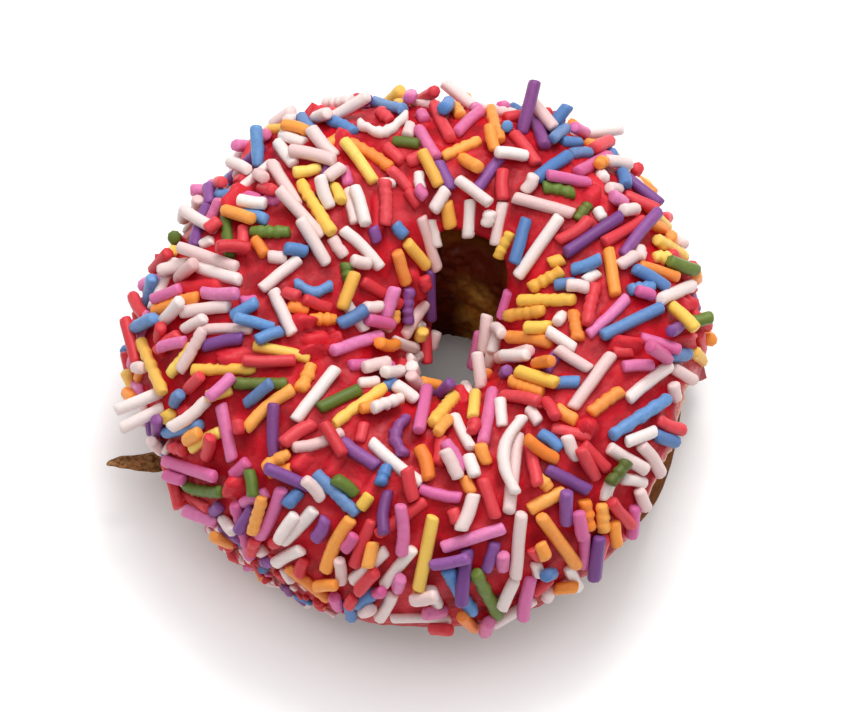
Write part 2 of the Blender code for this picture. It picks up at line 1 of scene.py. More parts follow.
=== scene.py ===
"""Sprinkle frosted doughnut: its fine surfaces, sprinkles and crumbs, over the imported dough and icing.

The ring lies flat, with +Z up. Azimuth 0 is +X, and 90 degrees is +Y, the far side of the ring.
A cross-section's angle is 0 at the widest point, 90 degrees on top and 180 degrees inside the hole.
The sizes and the rule that lays the sprinkles are those of the solids, so every sprinkle lies where its
solid does.
"""

import math
import random

import bpy
import numpy as np
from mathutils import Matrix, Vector, noise
from mathutils.bvhtree import BVHTree
from mathutils.kdtree import KDTree


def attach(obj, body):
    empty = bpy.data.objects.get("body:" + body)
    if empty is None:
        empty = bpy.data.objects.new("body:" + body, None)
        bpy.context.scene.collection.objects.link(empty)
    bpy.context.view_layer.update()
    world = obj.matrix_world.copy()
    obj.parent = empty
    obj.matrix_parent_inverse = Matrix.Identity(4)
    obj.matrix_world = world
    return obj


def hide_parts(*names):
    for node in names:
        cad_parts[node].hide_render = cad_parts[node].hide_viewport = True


MM = 0.001

# The bare ring, whose middle lies at SHIFT from the origin
SHIFT = (0.3 * MM, -0.4 * MM)
DOUGH_TOP = 28.4 * MM
WIDEST_AT = 13.0 * MM
THROAT_AT = 9.0 * MM
HOLE_CENTRE = (5.2 * MM, 0.1 * MM)
HOLE_HALF_X = 6.9 * MM
HOLE_HALF_Y = 8.8 * MM
SECTION_ROUNDNESS = 0.9
FLAT_FROM = 0.9
FLAT_EASE = 1.6
# Its outline: azimuth in degrees, then millimetres from the middle
OUTLINE = (
    (0, 38.5), (20, 38.4), (35, 39.6), (50, 40.2), (62, 39.7), (75, 38.2), (90, 37.3), (105, 37.5),
    (115, 38.6), (122, 39.6), (130, 37.2), (142, 36.5), (155, 37.0), (170, 37.3), (182, 37.9), (195, 37.3),
    (210, 35.8), (230, 34.6), (245, 34.6), (260, 35.9), (275, 36.4), (290, 37.7), (305, 38.3), (320, 38.8),
    (335, 39.4), (348, 38.9),
)
# How much higher or lower its top is, in millimetres
TOP_SWELLS = ((20, -0.5), (85, 0.2), (150, 0.5), (205, 0.0), (255, 0.4), (315, -0.2))
CRUST_WAVES = ((3, 2, 0.20 * MM, 40), (5, 3, 0.16 * MM, 200), (8, 1, 0.12 * MM, 110), (11, 5, 0.10 * MM, 300))

# The icing: the section angles at which it ends on the outside, and in the hole, by azimuth in degrees
EDGE = (
    (0, -8), (5, -14), (12, -13), (20, -7), (40, -9), (60, -16), (88, -6), (118, -18), (150, -7), (172, -17),
    (190, -7), (199, 2), (208, -10), (225, -24), (245, -22), (262, -13), (285, -17), (300, -10), (315, 2),
    (326, 18), (338, 29), (349, 30), (355, 16),
)
LIP = (
    (0, 174), (17, 165), (32, 136), (50, 121), (72, 117), (95, 121), (108, 140), (120, 165), (150, 176),
    (200, 169), (240, 180), (300, 170), (330, 176),
)
ICING_DEPTH = 1.7 * MM
ICING_EDGE_DEPTH = 1.15 * MM
ICING_TAPER = 0.12
ICING_BEAD = 0.45 * MM
BEAD_AT = 0.05
BEAD_WIDTH = 0.035
ICING_GAP = 0.5 * MM
ICING_WAVES = ((2, 1, 0.14 * MM, 60), (4, 3, 0.12 * MM, 170), (7, 2, 0.10 * MM, 20))
# A skirt of icing that set against the tray, and stands off the dough at the right
SKIRT_AT = 8.0
SKIRT_SPREAD = 9.5
SKIRT_STEEPNESS = 4
SKIRT_FLARE = 2.6 * MM
SKIRT_SHARE = 0.10
SKIRT_CURVE = 1.5

# A flake of crust that sticks out at the left
FLAKE_AT = 197.4
FLAKE_ROOT = 34.0 * MM
FLAKE_TIP = 46.3 * MM
FLAKE_HEIGHT = 7.7 * MM
FLAKE_HALF_WIDTH = 2.3 * MM
FLAKE_NARROWING = 0.4
FLAKE_HALF_THICKNESS = 0.42 * MM
FLAKE_RISE = 1.2 * MM
FLAKE_WAVE = 0.5 * MM
FLAKE_SWAYS = 5
FLAKE_CURLS = 7

# The sprinkles
SPRINKLE_SEED = 1
SPRINKLES = 900
FUSED_SPRINKLES = 150
SPRINKLE_RADIUS = 0.95 * MM
RADIUS_SPREAD = 0.08 * MM
LENGTHS = (
    (0.24, 2.3 * MM, 3.8 * MM),
    (0.50, 3.8 * MM, 6.2 * MM),
    (0.22, 6.2 * MM, 8.4 * MM),
    (0.04, 8.4 * MM, 10.8 * MM),
)
COLOURS = {"white": 27, "yellow": 9, "orange": 12, "pink": 12, "purple": 5, "blue": 8, "green": 2, "red": 17}
SPRINKLED_FROM = 0.07
SINK = (0.30 * MM, 0.60 * MM)
DROWNED_SHARE = 0.06
DROWNED_SINK = 1.1 * MM
STANDING_SHARE = 0.05
STANDING = (0.3, 0.8)
BEND_SPREAD = 0.02
# Most of them run outwards from the hole, within this many degrees
RADIAL_SHARE = 0.62
RADIAL_SPREAD = 28
# At the lower left the icing's edge is crushed, and no random sprinkle lies below this height
BROKEN_AT = 225
BROKEN_SPREAD = 24
BROKEN_TOP = 14.5 * MM
CONTACT = 0.90
CROSSING = 0.75
NEAR = 3 * MM
DEEPEST = 5 * MM
TRIES = 8
MOST_LEAN = 0.55
MOST_STACK = 1.9 * MM
PATH_SAMPLES = np.linspace(-1, 1, 9)
SPHERE_SPACING = 0.5 * MM
NOTHING_NEAR = -1.0
# The sprinkles that catch the eye, as seen from this high above the front: colour, then both ends in
# millimetres right of and above the ring's middle, the bow of a bent one, and 1 for one that sticks out
SEEN_FROM = 65
SEEN_MIDDLE = 15.5 * MM
SIGHT_REACH = 100 * MM
SIGHT_STEPS = range(-25, 26)
LONGEST = 12.0 * MM
STUCK_SHARE = 0.2
LEAST_STANDING = 0.15
LANDMARKS = (
    ("purple", 15.0, 31.5, 17.0, 39.5, 0, 1),
    ("white", 9.2, 35.5, 3.8, 40.0, 0, 1),
    ("white", 22.3, 32.6, 30.3, 33.6, 0, 1),
    ("blue", 18.7, 32.2, 22.0, 36.6, 0, 1),
    ("blue", -22.0, 27.3, -22.4, 33.6, 0, 1),
    ("pink", -28.0, 25.2, -33.2, 25.3, 0, 1),
    ("white", -34.5, -4.0, -41.7, -6.9, 0, 1),
    ("white", -34.5, -6.2, -41.0, -9.4, 0, 1),
    ("green", 38.0, 5.3, 42.1, 6.3, 0, 1),
    ("white", 10.1, -4.7, 9.3, 1.0, 0, 1),
    ("white", -8.2, 31.8, -0.5, 33.1, 2.4, 0),
    ("white", -20.5, 28.3, -16.5, 21.8, 0, 0),
    ("white", -19.3, 23.3, -12.9, 17.5, 0, 0),
    ("white", -16.5, 19.8, -12.2, 13.5, 0, 0),
    ("yellow", -16.5, 25.7, -11.5, 17.5, 0, 0),
    ("green", -23.3, 18.2, -17.5, 18.1, 0, 0),
    ("green", -34.5, 21.0, -34.8, 14.4, 0, 0),
    ("white", -21.8, 9.9, -16.2, 14.4, 0, 0),
    ("blue", -17.2, 9.6, -11.5, 9.3, 1.2, 0),
    ("white", -20.1, 10.1, -17.0, 3.4, 0, 0),
    ("yellow", -39.2, 3.6, -34.1, -5.2, 0, 0),
    ("pink", -26.9, -5.7, -25.1, -14.0, 0, 0),
    ("pink", -36.4, -13.4, -26.1, -16.2, 0, 0),
    ("white", -16.8, -8.6, -10.8, -0.9, 0, 0),
    ("green", -13.6, -6.9, -7.5, -4.0, 0, 0),
    ("blue", -13.9, -15.2, -7.6, -21.3, 0, 0),
    ("orange", -17.5, -28.2, -11.5, -33.0, 0, 0),
    ("purple", -2.6, -7.5, -3.0, -13.4, 1.3, 0),
    ("pink", 0.4, -10.9, 1.9, -3.3, 0, 0),
    ("white", 14.4, -9.8, 12.9, -21.3, 0, 0),
    ("white", 12.8, -7.2, 11.5, -19.8, 2.0, 0),
    ("pink", 9.6, -11.9, 11.1, -4.3, 0, 0),
    ("purple", 18.0, -14.8, 24.4, -18.0, 0, 0),
    ("white", 21.8, -6.9, 27.7, 1.1, 0, 0),
    ("blue", 27.0, -10.5, 35.5, -5.0, 0, 0),
    ("blue", 26.0, 3.4, 34.9, 7.5, 0, 0),
    ("white", 33.5, 8.2, 39.9, 11.1, 0, 0),
    ("yellow", 14.8, 8.5, 23.0, 8.6, 0, 0),
    ("white", 14.5, 11.8, 20.8, 20.7, 0, 0),
    ("white", 13.8, 23.3, 22.7, 20.8, 0, 0),
    ("white", 7.9, 23.3, 7.6, 17.5, 0, 0),
    ("white", 12.6, 23.0, 11.4, 16.4, 0, 0),
    ("white", 4.0, 19.6, 5.0, 15.2, 0, 0),
    ("blue", 16.1, 20.8, 14.8, 13.4, 0, 0),
    ("yellow", 13.7, 18.6, 11.5, 14.5, 0, 0),
    ("yellow", -1.6, 17.2, 1.6, 13.6, 0, 0),
    ("orange", -3.0, 16.0, -1.5, 11.0, 0, 0),
    ("yellow", 13.1, 6.4, 18.7, 7.1, 0, 0),
    ("yellow", 16.3, 10.1, 21.2, 12.8, 0, 0),
    ("orange", 22.5, 6.9, 23.1, 2.6, 0, 0),
    ("white", -1.2, -0.6, 1.2, -4.0, 0, 0),
    ("white", 2.2, 20.4, 4.6, 12.5, 0, 0),
    ("purple", 2.2, 13.6, 2.4, 6.0, 0, 0),
    ("purple", 21.0, 15.0, 29.5, 20.7, 0, 0),
    ("orange", 27.3, 15.8, 28.3, 8.9, 0, 0),
    ("pink", 0.4, 33.3, 3.2, 28.6, 0, 0),
    ("purple", 3.2, 28.6, 5.3, 24.3, 0, 0),
    ("yellow", 0.3, -32.8, 2.9, -19.8, 0, 0),
    ("pink", 3.6, -25.6, 12.6, -22.7, 0, 0),
    ("green", 8.2, -28.4, 11.9, -35.6, 0, 0),
    ("orange", 17.2, -21.0, 22.6, -28.4, 0, 0),
    ("white", 13.9, -29.9, 14.7, -20.5, 0, 0),
)

SKIN_STEPS = (144, 56)

# The fine surfaces: faces round the ring, then round its section
ICING_STEPS = (540, 180)
ICING_OUTER_ROWS = 146
ICING_RIM_ROWS = 6
ROW_CROWDING = 0.25
DOUGH_STEPS = (420, 170)
DOUGH_CROWDING = 0.5
DOUGH_CROWDED_AT = 150
# Swells and grain of the set icing: lump size, then height; they fade in over this share from its edges
ICING_RELIEF = ((9.0 * MM, 0.24 * MM), (3.5 * MM, 0.12 * MM), (1.3 * MM, 0.05 * MM))
SWELL_FADE = 0.05
OFF_FLOOR = 0.15 * MM
# Its edge wanders by this many degrees of the section, in lumps of this size, and fades in from the edge
RAGGED = ((6.0 * MM, 3.0), (1.8 * MM, 3.0), (0.8 * MM, 1.6))
RAGGED_FADE = 0.045
EDGE_NOISE = 3.0
MOST_RAGGED = 0.8
FRINGE_FADE = 0.011
# Where it stops short at the lower right, and the degrees to either side over which it reaches down again
BARE_AT = 338
BARE_REACH = (22, 14)
# The crushed edge at the lower left: its ends fade over these degrees, and stray. Its lumps, and its top
BROKEN_REACH = (BROKEN_SPREAD + 8, BROKEN_SPREAD - 14)
BROKEN_STRAY = 6
BROKEN_PALENESS = 0.7
CRUSHED_RELIEF = ((2.4 * MM, 0.9 * MM), (1.0 * MM, 0.5 * MM))
CRUSHED_SHARE = (0.24, 0.1)
CRUSHED_FADE = 0.012
CRUSHED_NOISE = 17.0
# It is crushed in patches, which close up towards its middle
PATCHES = 5.0 * MM
PATCHES_NOISE = 31.0
PATCHES_RANGE = (-0.35, 0.35)
PATCHES_GAIN = 1.2
PATCHES_START = -0.5
# The skirt's creases, and the share over which its darker red fades in: partly the thin icing's own deeper
# red, partly painted shade
CREASE_STEP = 5.5
CREASE_DEPTH = 0.5 * MM
CREASE_SWAY = 2
ROUND_GRAIN = 0.2
SKIRT_DARK = (0.15, 0.08)
# Icing creeps up the sides of the sprinkles, and covers the drowned ones
CREEP_HEIGHT = 0.34 * MM
CREEP_WIDTH = 0.45 * MM
DROWNED_COAT = 0.04 * MM
DROWNED_SOFTNESS = 0.14 * MM
DROWNED_REACH = (2.4 * MM, 1.7 * MM)
COVERED = (0.1 * MM, 0.5 * MM)
# The crust's grain, which fades out towards the floor, and its paler waist, by the section's angle
CRUST_RELIEF = ((5.0 * MM, 0.17 * MM), (1.7 * MM, 0.14 * MM))
CRUST_NOISE = 11.0
FOOT_FADE = 1.2 * MM
WAIST_AT = -25
WAIST_SPREAD = 16
# The torn crumb in the hole: the azimuths it takes up, where it starts past the icing's lip and ends below
TORN_AT = 72
TORN_REACH = (48, 30)
TORN_PAST_LIP = (4, 12)
TORN_UNTIL = (262, 242)
TORN_RELIEF = ((4.2 * MM, 0.75 * MM), (1.7 * MM, 0.5 * MM), (0.7 * MM, 0.26 * MM))
TORN_NOISE = 23.0
CRAG_DEPTH = 1.3
CRAG_LIFT = 0.2 * MM
# Part of it is golden, with a ragged border, and the rest is wet with syrup above these heights
GOLDEN_AT = 50
GOLDEN_REACH = (42, 14)
GOLDEN_STRAY = 9
GOLDEN_LUMPS = 3 * MM
GOLDEN_FROM = (140, 172)
WET_HEIGHTS = (11.0 * MM, 19.0 * MM)
# The leaf's wrinkles and its frayed sides: lump size, then height
LEAF_STEPS = (28, 30)
WRINKLES = (1.4 * MM, 0.35 * MM)
WRINKLES_NOISE = 5.0
FRAYS = (2.2 * MM, 0.3 * MM)
FRAYS_NOISE = 9.0

# One sprinkle's form: how far out from the centre of its rounded end, and how wide, as shares of its radius
ROD_SIDES = 8
ROD_END = ((0.98, 0.0), (0.95, 0.64), (0.76, 0.92), (0.3, 1.0))
PLAIN_BODY = 3
KNOBBLY_BODY = 11
KNOBBLY_SHARES = {
    "white": 0.07, "yellow": 0.5, "orange": 0.4, "pink": 0.12,
    "purple": 0.2, "blue": 0.2, "green": 0.6, "red": 0.25,
}
KNOB_SPACING = 1.25 * MM
KNOB_STRETCH = (0.85, 1.25)
KNOBS = 0.085
KNOB_DEPTHS = (0.6, 1.5)
END_REACH = (0.8, 1.0)
# How uneven a rod's width is, and how far its middle line sways, in radii
PLAIN_BODY_WEAR = (0.016, 0.03)
KNOBBLY_BODY_WEAR = (0.03, 0.05)
ASKEW = 0.24
BENT_FROM = 0.3 * MM
# Icing stains a sprinkle's foot up to this height, and the whole of some of them
STAIN_HEIGHT = 0.85 * MM
STAIN_MOST = 0.85
SOAKED_MOST = 0.34
DETAIL_SEED = 8

# Crushed sprinkles along the edge at the lower left
SHARDS = 125
SHARDS_FROM = 196
SHARDS_TO = 256
SHARDS_MOST_AT = 224
SHARD_SCATTER = 0.06
SHARD_OFF_EDGE = 0.004
SHARD_STUBBIEST = 2.2
SHARD_HEIGHTS = (-0.2, 0.8)
SHARD_LEANS = (-0.6, 0.6)
SHARD_LENGTHS = (1.2 * MM, 3.8 * MM)
SHARD_RADII = (0.34 * MM, 0.88 * MM)
SHARD_COLOURS = {"white": 26, "red": 42, "orange": 9, "blue": 7, "purple": 5, "pink": 8, "yellow": 3}

# The camera and the studio
CAMERA_FAR = 700 * MM
SENSOR = 36.0
PICTURE_WIDE = 124.1 * MM
AIM_RIGHT = 2.44 * MM
AIM_ABOVE = 0.86 * MM
NEAREST_SEEN = 10 * MM
FLOOR_WIDE = 4
FLOOR_DROP = 0.05 * MM
# The floor glows, a painted light that makes the paper white; the glow fades out under the ring, a painted
# shade there and in the hole
PAINTED_FLOOR_GLOW = 0.225
GLOW_SHADE_RADIUS = 52 * MM
ROOM_LIGHT = 0.36
# Soft lights: name, place, size and power
LIGHTS = (("overhead", (0.04, 0.16, 0.75), 0.9, 4.5), ("key", (0.13, 0.46, 0.72), 0.28, 3.0))

# Colours of the real finishes, as sRGB
SPRINKLE_HEX = {
    "white": ("f4ebe7", "f2dfdb"),
    "yellow": ("fddb72", "f8c653"),
    "orange": ("ffb65c", "fc963a"),
    "pink": ("ea90c2", "db68a4"),
    "purple": ("9d5fa6", "7d4a90"),
    "blue": ("76a4d8", "5685c2"),
    "green": ("788f3c", "5c732c"),
    "red": ("e9525a", "d93842"),
}
# Sizes of the lumps in each finish's patterns
CLOUDS = 3.2 * MM
CRUMB_AND_GLINT_SPECKS = 1.1 * MM
BLOOM = 5.0 * MM
SHEEN = 1.6 * MM
ICING_GRAIN = 1.2 * MM
PASTE_CLOUDS = 0.7 * MM
PITS = 0.28 * MM
CRUST_PATCHES = 5.5 * MM
CRUST_SPECKS = 0.9 * MM
CRUST_GRAIN = 1.1 * MM
CRUMB_RIDGES = 4.5 * MM
LEAF_RIBS = 0.9 * MM


def wrapped(angle, centre):
    """The angle from centre, in degrees, between -180 and 180."""
    return (np.degrees(angle) - centre + 180) % 360 - 180


def around(angle, knots):
    """The value at an azimuth of a smooth closed curve through (azimuth in degrees, value) knots."""
    turns = [(azimuth + turn, value) for turn in (-360, 0, 360) for azimuth, value in knots]
    at, value = np.array(turns, float).T
    slope = np.gradient(value, at)
    degrees = np.degrees(angle) % 360
    left = np.searchsorted(at, degrees, side="right") - 1
    width = at[left + 1] - at[left]
    t = (degrees - at[left]) / width
    start = value[left] * (1 + 2 * t) * (1 - t) ** 2 + slope[left] * width * t * (1 - t) ** 2
    return start + value[left + 1] * (3 - 2 * t) * t**2 - slope[left + 1] * width * (1 - t) * t**2


def ripple(phi, theta, waves):
    """The sum of slanting waves over the ring's surface."""
    return sum(
        size * np.cos(round_ * phi + over * theta - math.radians(lead)) for round_, over, size, lead in waves
    )


def dough_point(phi, theta):
    """A point on the dough at an azimuth and a section angle, in radians."""
    outer = around(phi, OUTLINE) * MM + ripple(phi, theta, CRUST_WAVES)
    reach = np.cos(theta)
    share = (1 + np.sign(reach) * np.abs(reach) ** SECTION_ROUNDNESS) / 2
    hole_x = HOLE_CENTRE[0] + HOLE_HALF_X * np.cos(phi)
    hole_y = HOLE_CENTRE[1] + HOLE_HALF_Y * np.sin(phi)
    x = hole_x + (outer * np.cos(phi) - hole_x) * share
    y = hole_y + (outer * np.sin(phi) - hole_y) * share
    rise = np.sin(theta)
    top = DOUGH_TOP + around(phi, TOP_SWELLS) * MM + ripple(phi, theta, CRUST_WAVES)
    side = THROAT_AT + (WIDEST_AT - THROAT_AT) * share
    above = side + (top - side) * np.maximum(rise, 0) ** SECTION_ROUNDNESS
    below = side * (1 - np.minimum(np.maximum(-rise, 0) / FLAT_FROM, 1)) ** FLAT_EASE
    z = np.where(rise >= 0, above, below)
    return np.stack([x + SHIFT[0], y + SHIFT[1], z], axis=-1)


def dough_normal(phi, theta):
    """The outward normal of the dough."""
    step = 0.02
    round_ = dough_point(phi + step, theta) - dough_point(phi - step, theta)
    over = dough_point(phi, theta + step) - dough_point(phi, theta - step)
    normal = np.cross(round_, over)
    return normal / np.linalg.norm(normal, axis=-1, keepdims=True)


def icing_angle(phi, across):
    """The section angle of a point of the icing; across is 0 at its outer edge and 1 at its lip."""
    edge = around(phi, EDGE)
    return np.radians(edge + (around(phi, LIP) - edge) * across)


def icing_depth(phi, across):
    """The icing's thickness: thin at both edges, with a bead along the outer one."""
    from_edge = np.minimum(across, 1 - across)
    swelling = 1 - np.exp(-((from_edge / ICING_TAPER) ** 2))
    depth = ICING_EDGE_DEPTH + (ICING_DEPTH - ICING_EDGE_DEPTH) * swelling
    bead = ICING_BEAD * np.exp(-(((across - BEAD_AT) / BEAD_WIDTH) ** 2))
    return depth + bead + ripple(phi, icing_angle(phi, across), ICING_WAVES)


def skirt_zone(phi):
    """1 along the skirt, falling steeply to 0 past its ends."""
    return np.exp(-(np.abs(wrapped(phi, SKIRT_AT) / SKIRT_SPREAD) ** SKIRT_STEEPNESS))


def skirt_flare(phi, across):
    """How far the skirt stands off the dough."""
    down = np.maximum(1 - across / SKIRT_SHARE, 0)
    return SKIRT_FLARE * down**SKIRT_CURVE * skirt_zone(phi)


def icing_skin(phi, across):
    """A point on the icing's outer face."""
    theta = icing_angle(phi, across)
    lift = ICING_GAP + skirt_flare(phi, across) + icing_depth(phi, across)
    return dough_point(phi, theta) + dough_normal(phi, theta) * lift[..., None]


class Skin:
    """The icing's outer face as a fine grid, for laying sprinkles on."""

    def __init__(self):
        rounds, rows = SKIN_STEPS
        phi, across = np.meshgrid(
            np.arange(rounds) * 2 * math.pi / rounds, np.linspace(0.02, 0.98, rows), indexing="ij"
        )
        self.points = icing_skin(phi, across)
        following = np.roll(self.points, -1, axis=0)
        self.corners = np.stack(
            [self.points[:, :-1], following[:, :-1], following[:, 1:], self.points[:, 1:]], axis=2
        ).reshape(-1, 4, 3)
        diagonals = np.cross(self.corners[:, 2] - self.corners[:, 0], self.corners[:, 3] - self.corners[:, 1])
        sprinkled = (across[:, :-1] > SPRINKLED_FROM).ravel()
        self.areas = np.cumsum(np.linalg.norm(diagonals, axis=1) * sprinkled)
        self.tree = BVHTree.FromPolygons(
            [Vector(c) for c in self.corners.reshape(-1, 3)],
            [tuple(range(4 * i, 4 * i + 4)) for i in range(len(self.corners))],
        )

    def any_point(self, draw):
        """A random point, as likely on each square millimetre."""
        face = int(np.searchsorted(self.areas, draw.random() * self.areas[-1]))
        u, v = draw.random(), draw.random()
        a, b, c, d = self.corners[face]
        return Vector((a * (1 - u) + b * u) * (1 - v) + (d * (1 - u) + c * u) * v)

    def normal(self, point):
        return self.tree.find_nearest(point)[1]

    def height(self, point, up):
        """How far the skin lies above a point, along up, or None where there is none near."""
        hit = self.tree.ray_cast(point + up * DEEPEST, -up, 2 * DEEPEST)
        return None if hit[0] is None else DEEPEST - hit[3]


class Sprinkle:
    """A thin rod of sugar: where its middle lies, which way it runs, and how it rests."""

    def __init__(self, colour, length, radius, bend, sink, drowned=False):
        self.colour = colour
        self.length = length
        self.radius = radius
        self.bend = bend
        self.sink = sink
        self.drowned = drowned

    def lay(self, middle, along, up, height=0.0, lean=0.0):
        """Places the rod on the tangent plane, height above it and leaning along its length."""
        self.middle = middle
        self.up = up
        self.along = (along - up * along.dot(up)).normalized()
        self.side = self.up.cross(self.along)
        self.height = height
        self.lean = lean

    def reach(self, shares):
        """How far from its middle each share of its length lies, along the tangent plane."""
        return (self.length / 2 - self.radius) / math.hypot(1, self.lean) * shares

    def path(self, shares=PATH_SAMPLES):
        """Points of its middle line, with -1 and 1 at the centres of its rounded ends."""
        reach = self.reach(shares)
        flat = np.outer(reach, self.along) + np.outer(self.bend * shares**2, self.side)
        return np.array(self.middle) + flat + np.outer(self.height + self.lean * reach, self.up)

    def needs(self, skin, spheres):
        """The least height of each sample of its path, above the icing and the sprinkles already there."""
        feet = self.path()
        feet -= np.outer((feet - np.array(self.middle)) @ np.array(self.up), self.up)
        over_skin = [skin.height(Vector(foot), self.up) for foot in feet]
        least = np.array([NOTHING_NEAR if h is None else h + self.radius - self.sink for h in over_skin])
        if len(spheres):
            near = spheres[np.linalg.norm(spheres[:, :3] - self.middle, axis=1) < self.length / 2 + NEAR]
            above = (near[:, :3] - self.middle) @ np.array(self.up)
            flat = near[:, :3] - np.outer(above, self.up)
            gap = np.linalg.norm(feet[:, None] - flat[None], axis=2)
            touch = CONTACT * (self.radius + near[:, 3])[None]
            on_top = above[None] + np.sqrt(np.maximum(touch**2 - gap**2, 0))
            rise = np.where(gap < touch, on_top, NOTHING_NEAR)
            least = np.maximum(least, rise.max(axis=1, initial=NOTHING_NEAR))
        return least

    def crosses(self, spheres):
        """Whether it would lie across any of these."""
        offset = spheres[None, :, :3] - self.path()[:, None]
        above = offset @ np.array(self.up)
        flat = np.sqrt(np.maximum((offset**2).sum(axis=2) - above**2, 0))
        touch = CROSSING * (self.radius + spheres[None, :, 3])
        return bool(((flat < touch) & (np.abs(above) < NEAR)).any())

    def settle(self, skin, spheres, standing=0.0):
        """Lowers the rod until it rests on both sides of its middle. Returns False where it can't lie."""
        self.height = 0.0
        self.lean = standing
        reach = self.reach(PATH_SAMPLES)
        least = self.needs(skin, spheres)
        mid = len(reach) // 2
        if standing:
            self.height = float(np.max(least - standing * reach))
            return True
        if min(least[mid], least[1], least[-2]) == NOTHING_NEAR:
            return False
        self.height = float(least[mid])
        for i in range(mid):
            for j in range(mid + 1, len(reach)):
                level = (least[i] * reach[j] - least[j] * reach[i]) / (reach[j] - reach[i])
                self.height = max(self.height, float(level))
        low = float(np.max((least[mid + 1 :] - self.height) / reach[mid + 1 :]))
        high = float(np.min((least[:mid] - self.height) / reach[:mid]))
        self.lean = min(max(0.0, low), high)
        return True

    def spheres(self):
        count = max(2, int(self.length / SPHERE_SPACING))
        points = self.path(np.linspace(-1, 1, count))
        return np.column_stack([points, np.full(count, self.radius)])


def drawn_length(draw):
    pick = draw.random() * sum(share for share, _, _ in LENGTHS)
    for share, low, high in LENGTHS:
        pick -= share
        if pick <= 0:
            break
    return draw.uniform(low, high)


def drawn_colour(draw):
    return draw.choices(list(COLOURS), list(COLOURS.values()))[0]


def seen_point(right, above):
    """A point of the plane that faces the eye through the ring's middle, from millimetres right and above."""
    tilt = math.radians(SEEN_FROM)
    middle = Vector((*SHIFT, SEEN_MIDDLE))
    return middle + Vector((right, above * math.sin(tilt), above * math.cos(tilt))) * MM


def landmark(skin, spheres, colour, x1, y1, x2, y2, bow, sticks_out):
    """A sprinkle whose ends appear at two points as seen by the eye."""
    tilt = math.radians(SEEN_FROM)
    sight = Vector((0, math.cos(tilt), -math.sin(tilt)))
    start = seen_point(x1, y1)
    end = seen_point(x2, y2)
    aim = start.lerp(end, STUCK_SHARE if sticks_out else 0.5)
    foot, up, _, _ = skin.tree.ray_cast(aim - sight * SIGHT_REACH, sight)
    if foot is None:
        steps = [aim + sight * (step * MM) for step in SIGHT_STEPS]
        foot, up, _, _ = min((skin.tree.find_nearest(point) for point in steps), key=lambda found: found[3])
    run = end - start
    if sticks_out:
        length = run.length
        level = run - up * run.dot(up)
        standing = max(run.dot(up) / level.length, LEAST_STANDING)
        middle = foot + level.normalized() * (length * (0.5 - STUCK_SHARE) / math.hypot(1, standing))
    else:
        run = run - sight * (run.dot(up) / sight.dot(up))
        length = min(run.length, LONGEST)
        standing = 0.0
        middle = foot
    made = Sprinkle(colour, length, SPRINKLE_RADIUS, bow * MM, SINK[0])
    made.lay(middle, run, up)
    made.settle(skin, spheres, standing)
    return made


def scatter(skin):
    """Every sprinkle: landmarks, then the longest first, each resting on the icing or on those before it."""
    draw = random.Random(SPRINKLE_SEED)
    laid = []
    spheres = np.zeros((0, 4))
    for row in LANDMARKS:
        laid.append(landmark(skin, spheres, *row))
        spheres = np.vstack([spheres, laid[-1].spheres()])
    in_sight = len(spheres)
    lengths = sorted((drawn_length(draw) for _ in range(SPRINKLES - len(laid))), reverse=True)
    longest = FUSED_SPRINKLES - len(laid)
    first, rest = lengths[:longest], lengths[longest:]
    draw.shuffle(first)
    draw.shuffle(rest)
    for number, length in enumerate(first + rest):
        drowned = number >= longest and draw.random() < DROWNED_SHARE
        radius = SPRINKLE_RADIUS + draw.uniform(-RADIUS_SPREAD, RADIUS_SPREAD)
        bend = draw.gauss(0, BEND_SPREAD) * length
        sink = DROWNED_SINK if drowned else draw.uniform(*SINK)
        standing = draw.uniform(*STANDING) if draw.random() < STANDING_SHARE else 0.0
        spread = math.radians(RADIAL_SPREAD if draw.random() < RADIAL_SHARE else 90)
        sprinkle = Sprinkle(drawn_colour(draw), length, radius, bend, sink, drowned)
        if drop(sprinkle, skin, spheres, in_sight, standing, spread, draw):
            laid.append(sprinkle)
            spheres = np.vstack([spheres, sprinkle.spheres()])
    return laid


def drop(sprinkle, skin, spheres, in_sight, standing, spread, draw):
    """Lays the sprinkle at the lowest of a few random places.

    It is clear of the landmarks, whose spheres come first, and keeps off the icing's crushed edge.
    It runs outwards from the hole, or inwards, within the spread.
    Returns False where no place will do.
    """
    hole = Vector((HOLE_CENTRE[0] + SHIFT[0], HOLE_CENTRE[1] + SHIFT[1], 0))
    best = None
    for _ in range(TRIES):
        middle = skin.any_point(draw)
        turn = draw.uniform(-spread, spread) + math.pi * draw.randint(0, 1)
        off_break = abs(wrapped(math.atan2(middle.y, middle.x), BROKEN_AT)) > BROKEN_SPREAD
        if middle.z < BROKEN_TOP and not off_break:
            continue
        up = skin.normal(middle)
        outward = (middle - hole) * Vector((1, 1, 0))
        outward = (outward - up * outward.dot(up)).normalized()
        along = outward * math.cos(turn) + up.cross(outward) * math.sin(turn)
        sprinkle.lay(middle, along, up)
        if sprinkle.crosses(spheres[:in_sight]) or not sprinkle.settle(skin, spheres, standing):
            continue
        too_steep = abs(sprinkle.lean) > max(MOST_LEAN, standing)
        too_high = sprinkle.height > MOST_STACK + standing * sprinkle.length / 2
        if too_steep or too_high or (best and sprinkle.height >= best[0]):
            continue
        best = (sprinkle.height, sprinkle.lean, middle, along, up)
    if best:
        height, lean, middle, along, up = best
        sprinkle.lay(middle, along, up, height, lean)
    return best is not None


def new_piece(name):
    """Names the primitive that an operator has just added."""
    made = bpy.context.object
    made.name = name
    made.data.name = name
    return made


def get_points(obj):
    points = np.empty(len(obj.data.vertices) * 3)
    obj.data.vertices.foreach_get("co", points)
    return points.reshape(-1, 3)


def set_points(obj, points):
    obj.data.vertices.foreach_set("co", np.asarray(points, np.float32).ravel())
    obj.data.update()


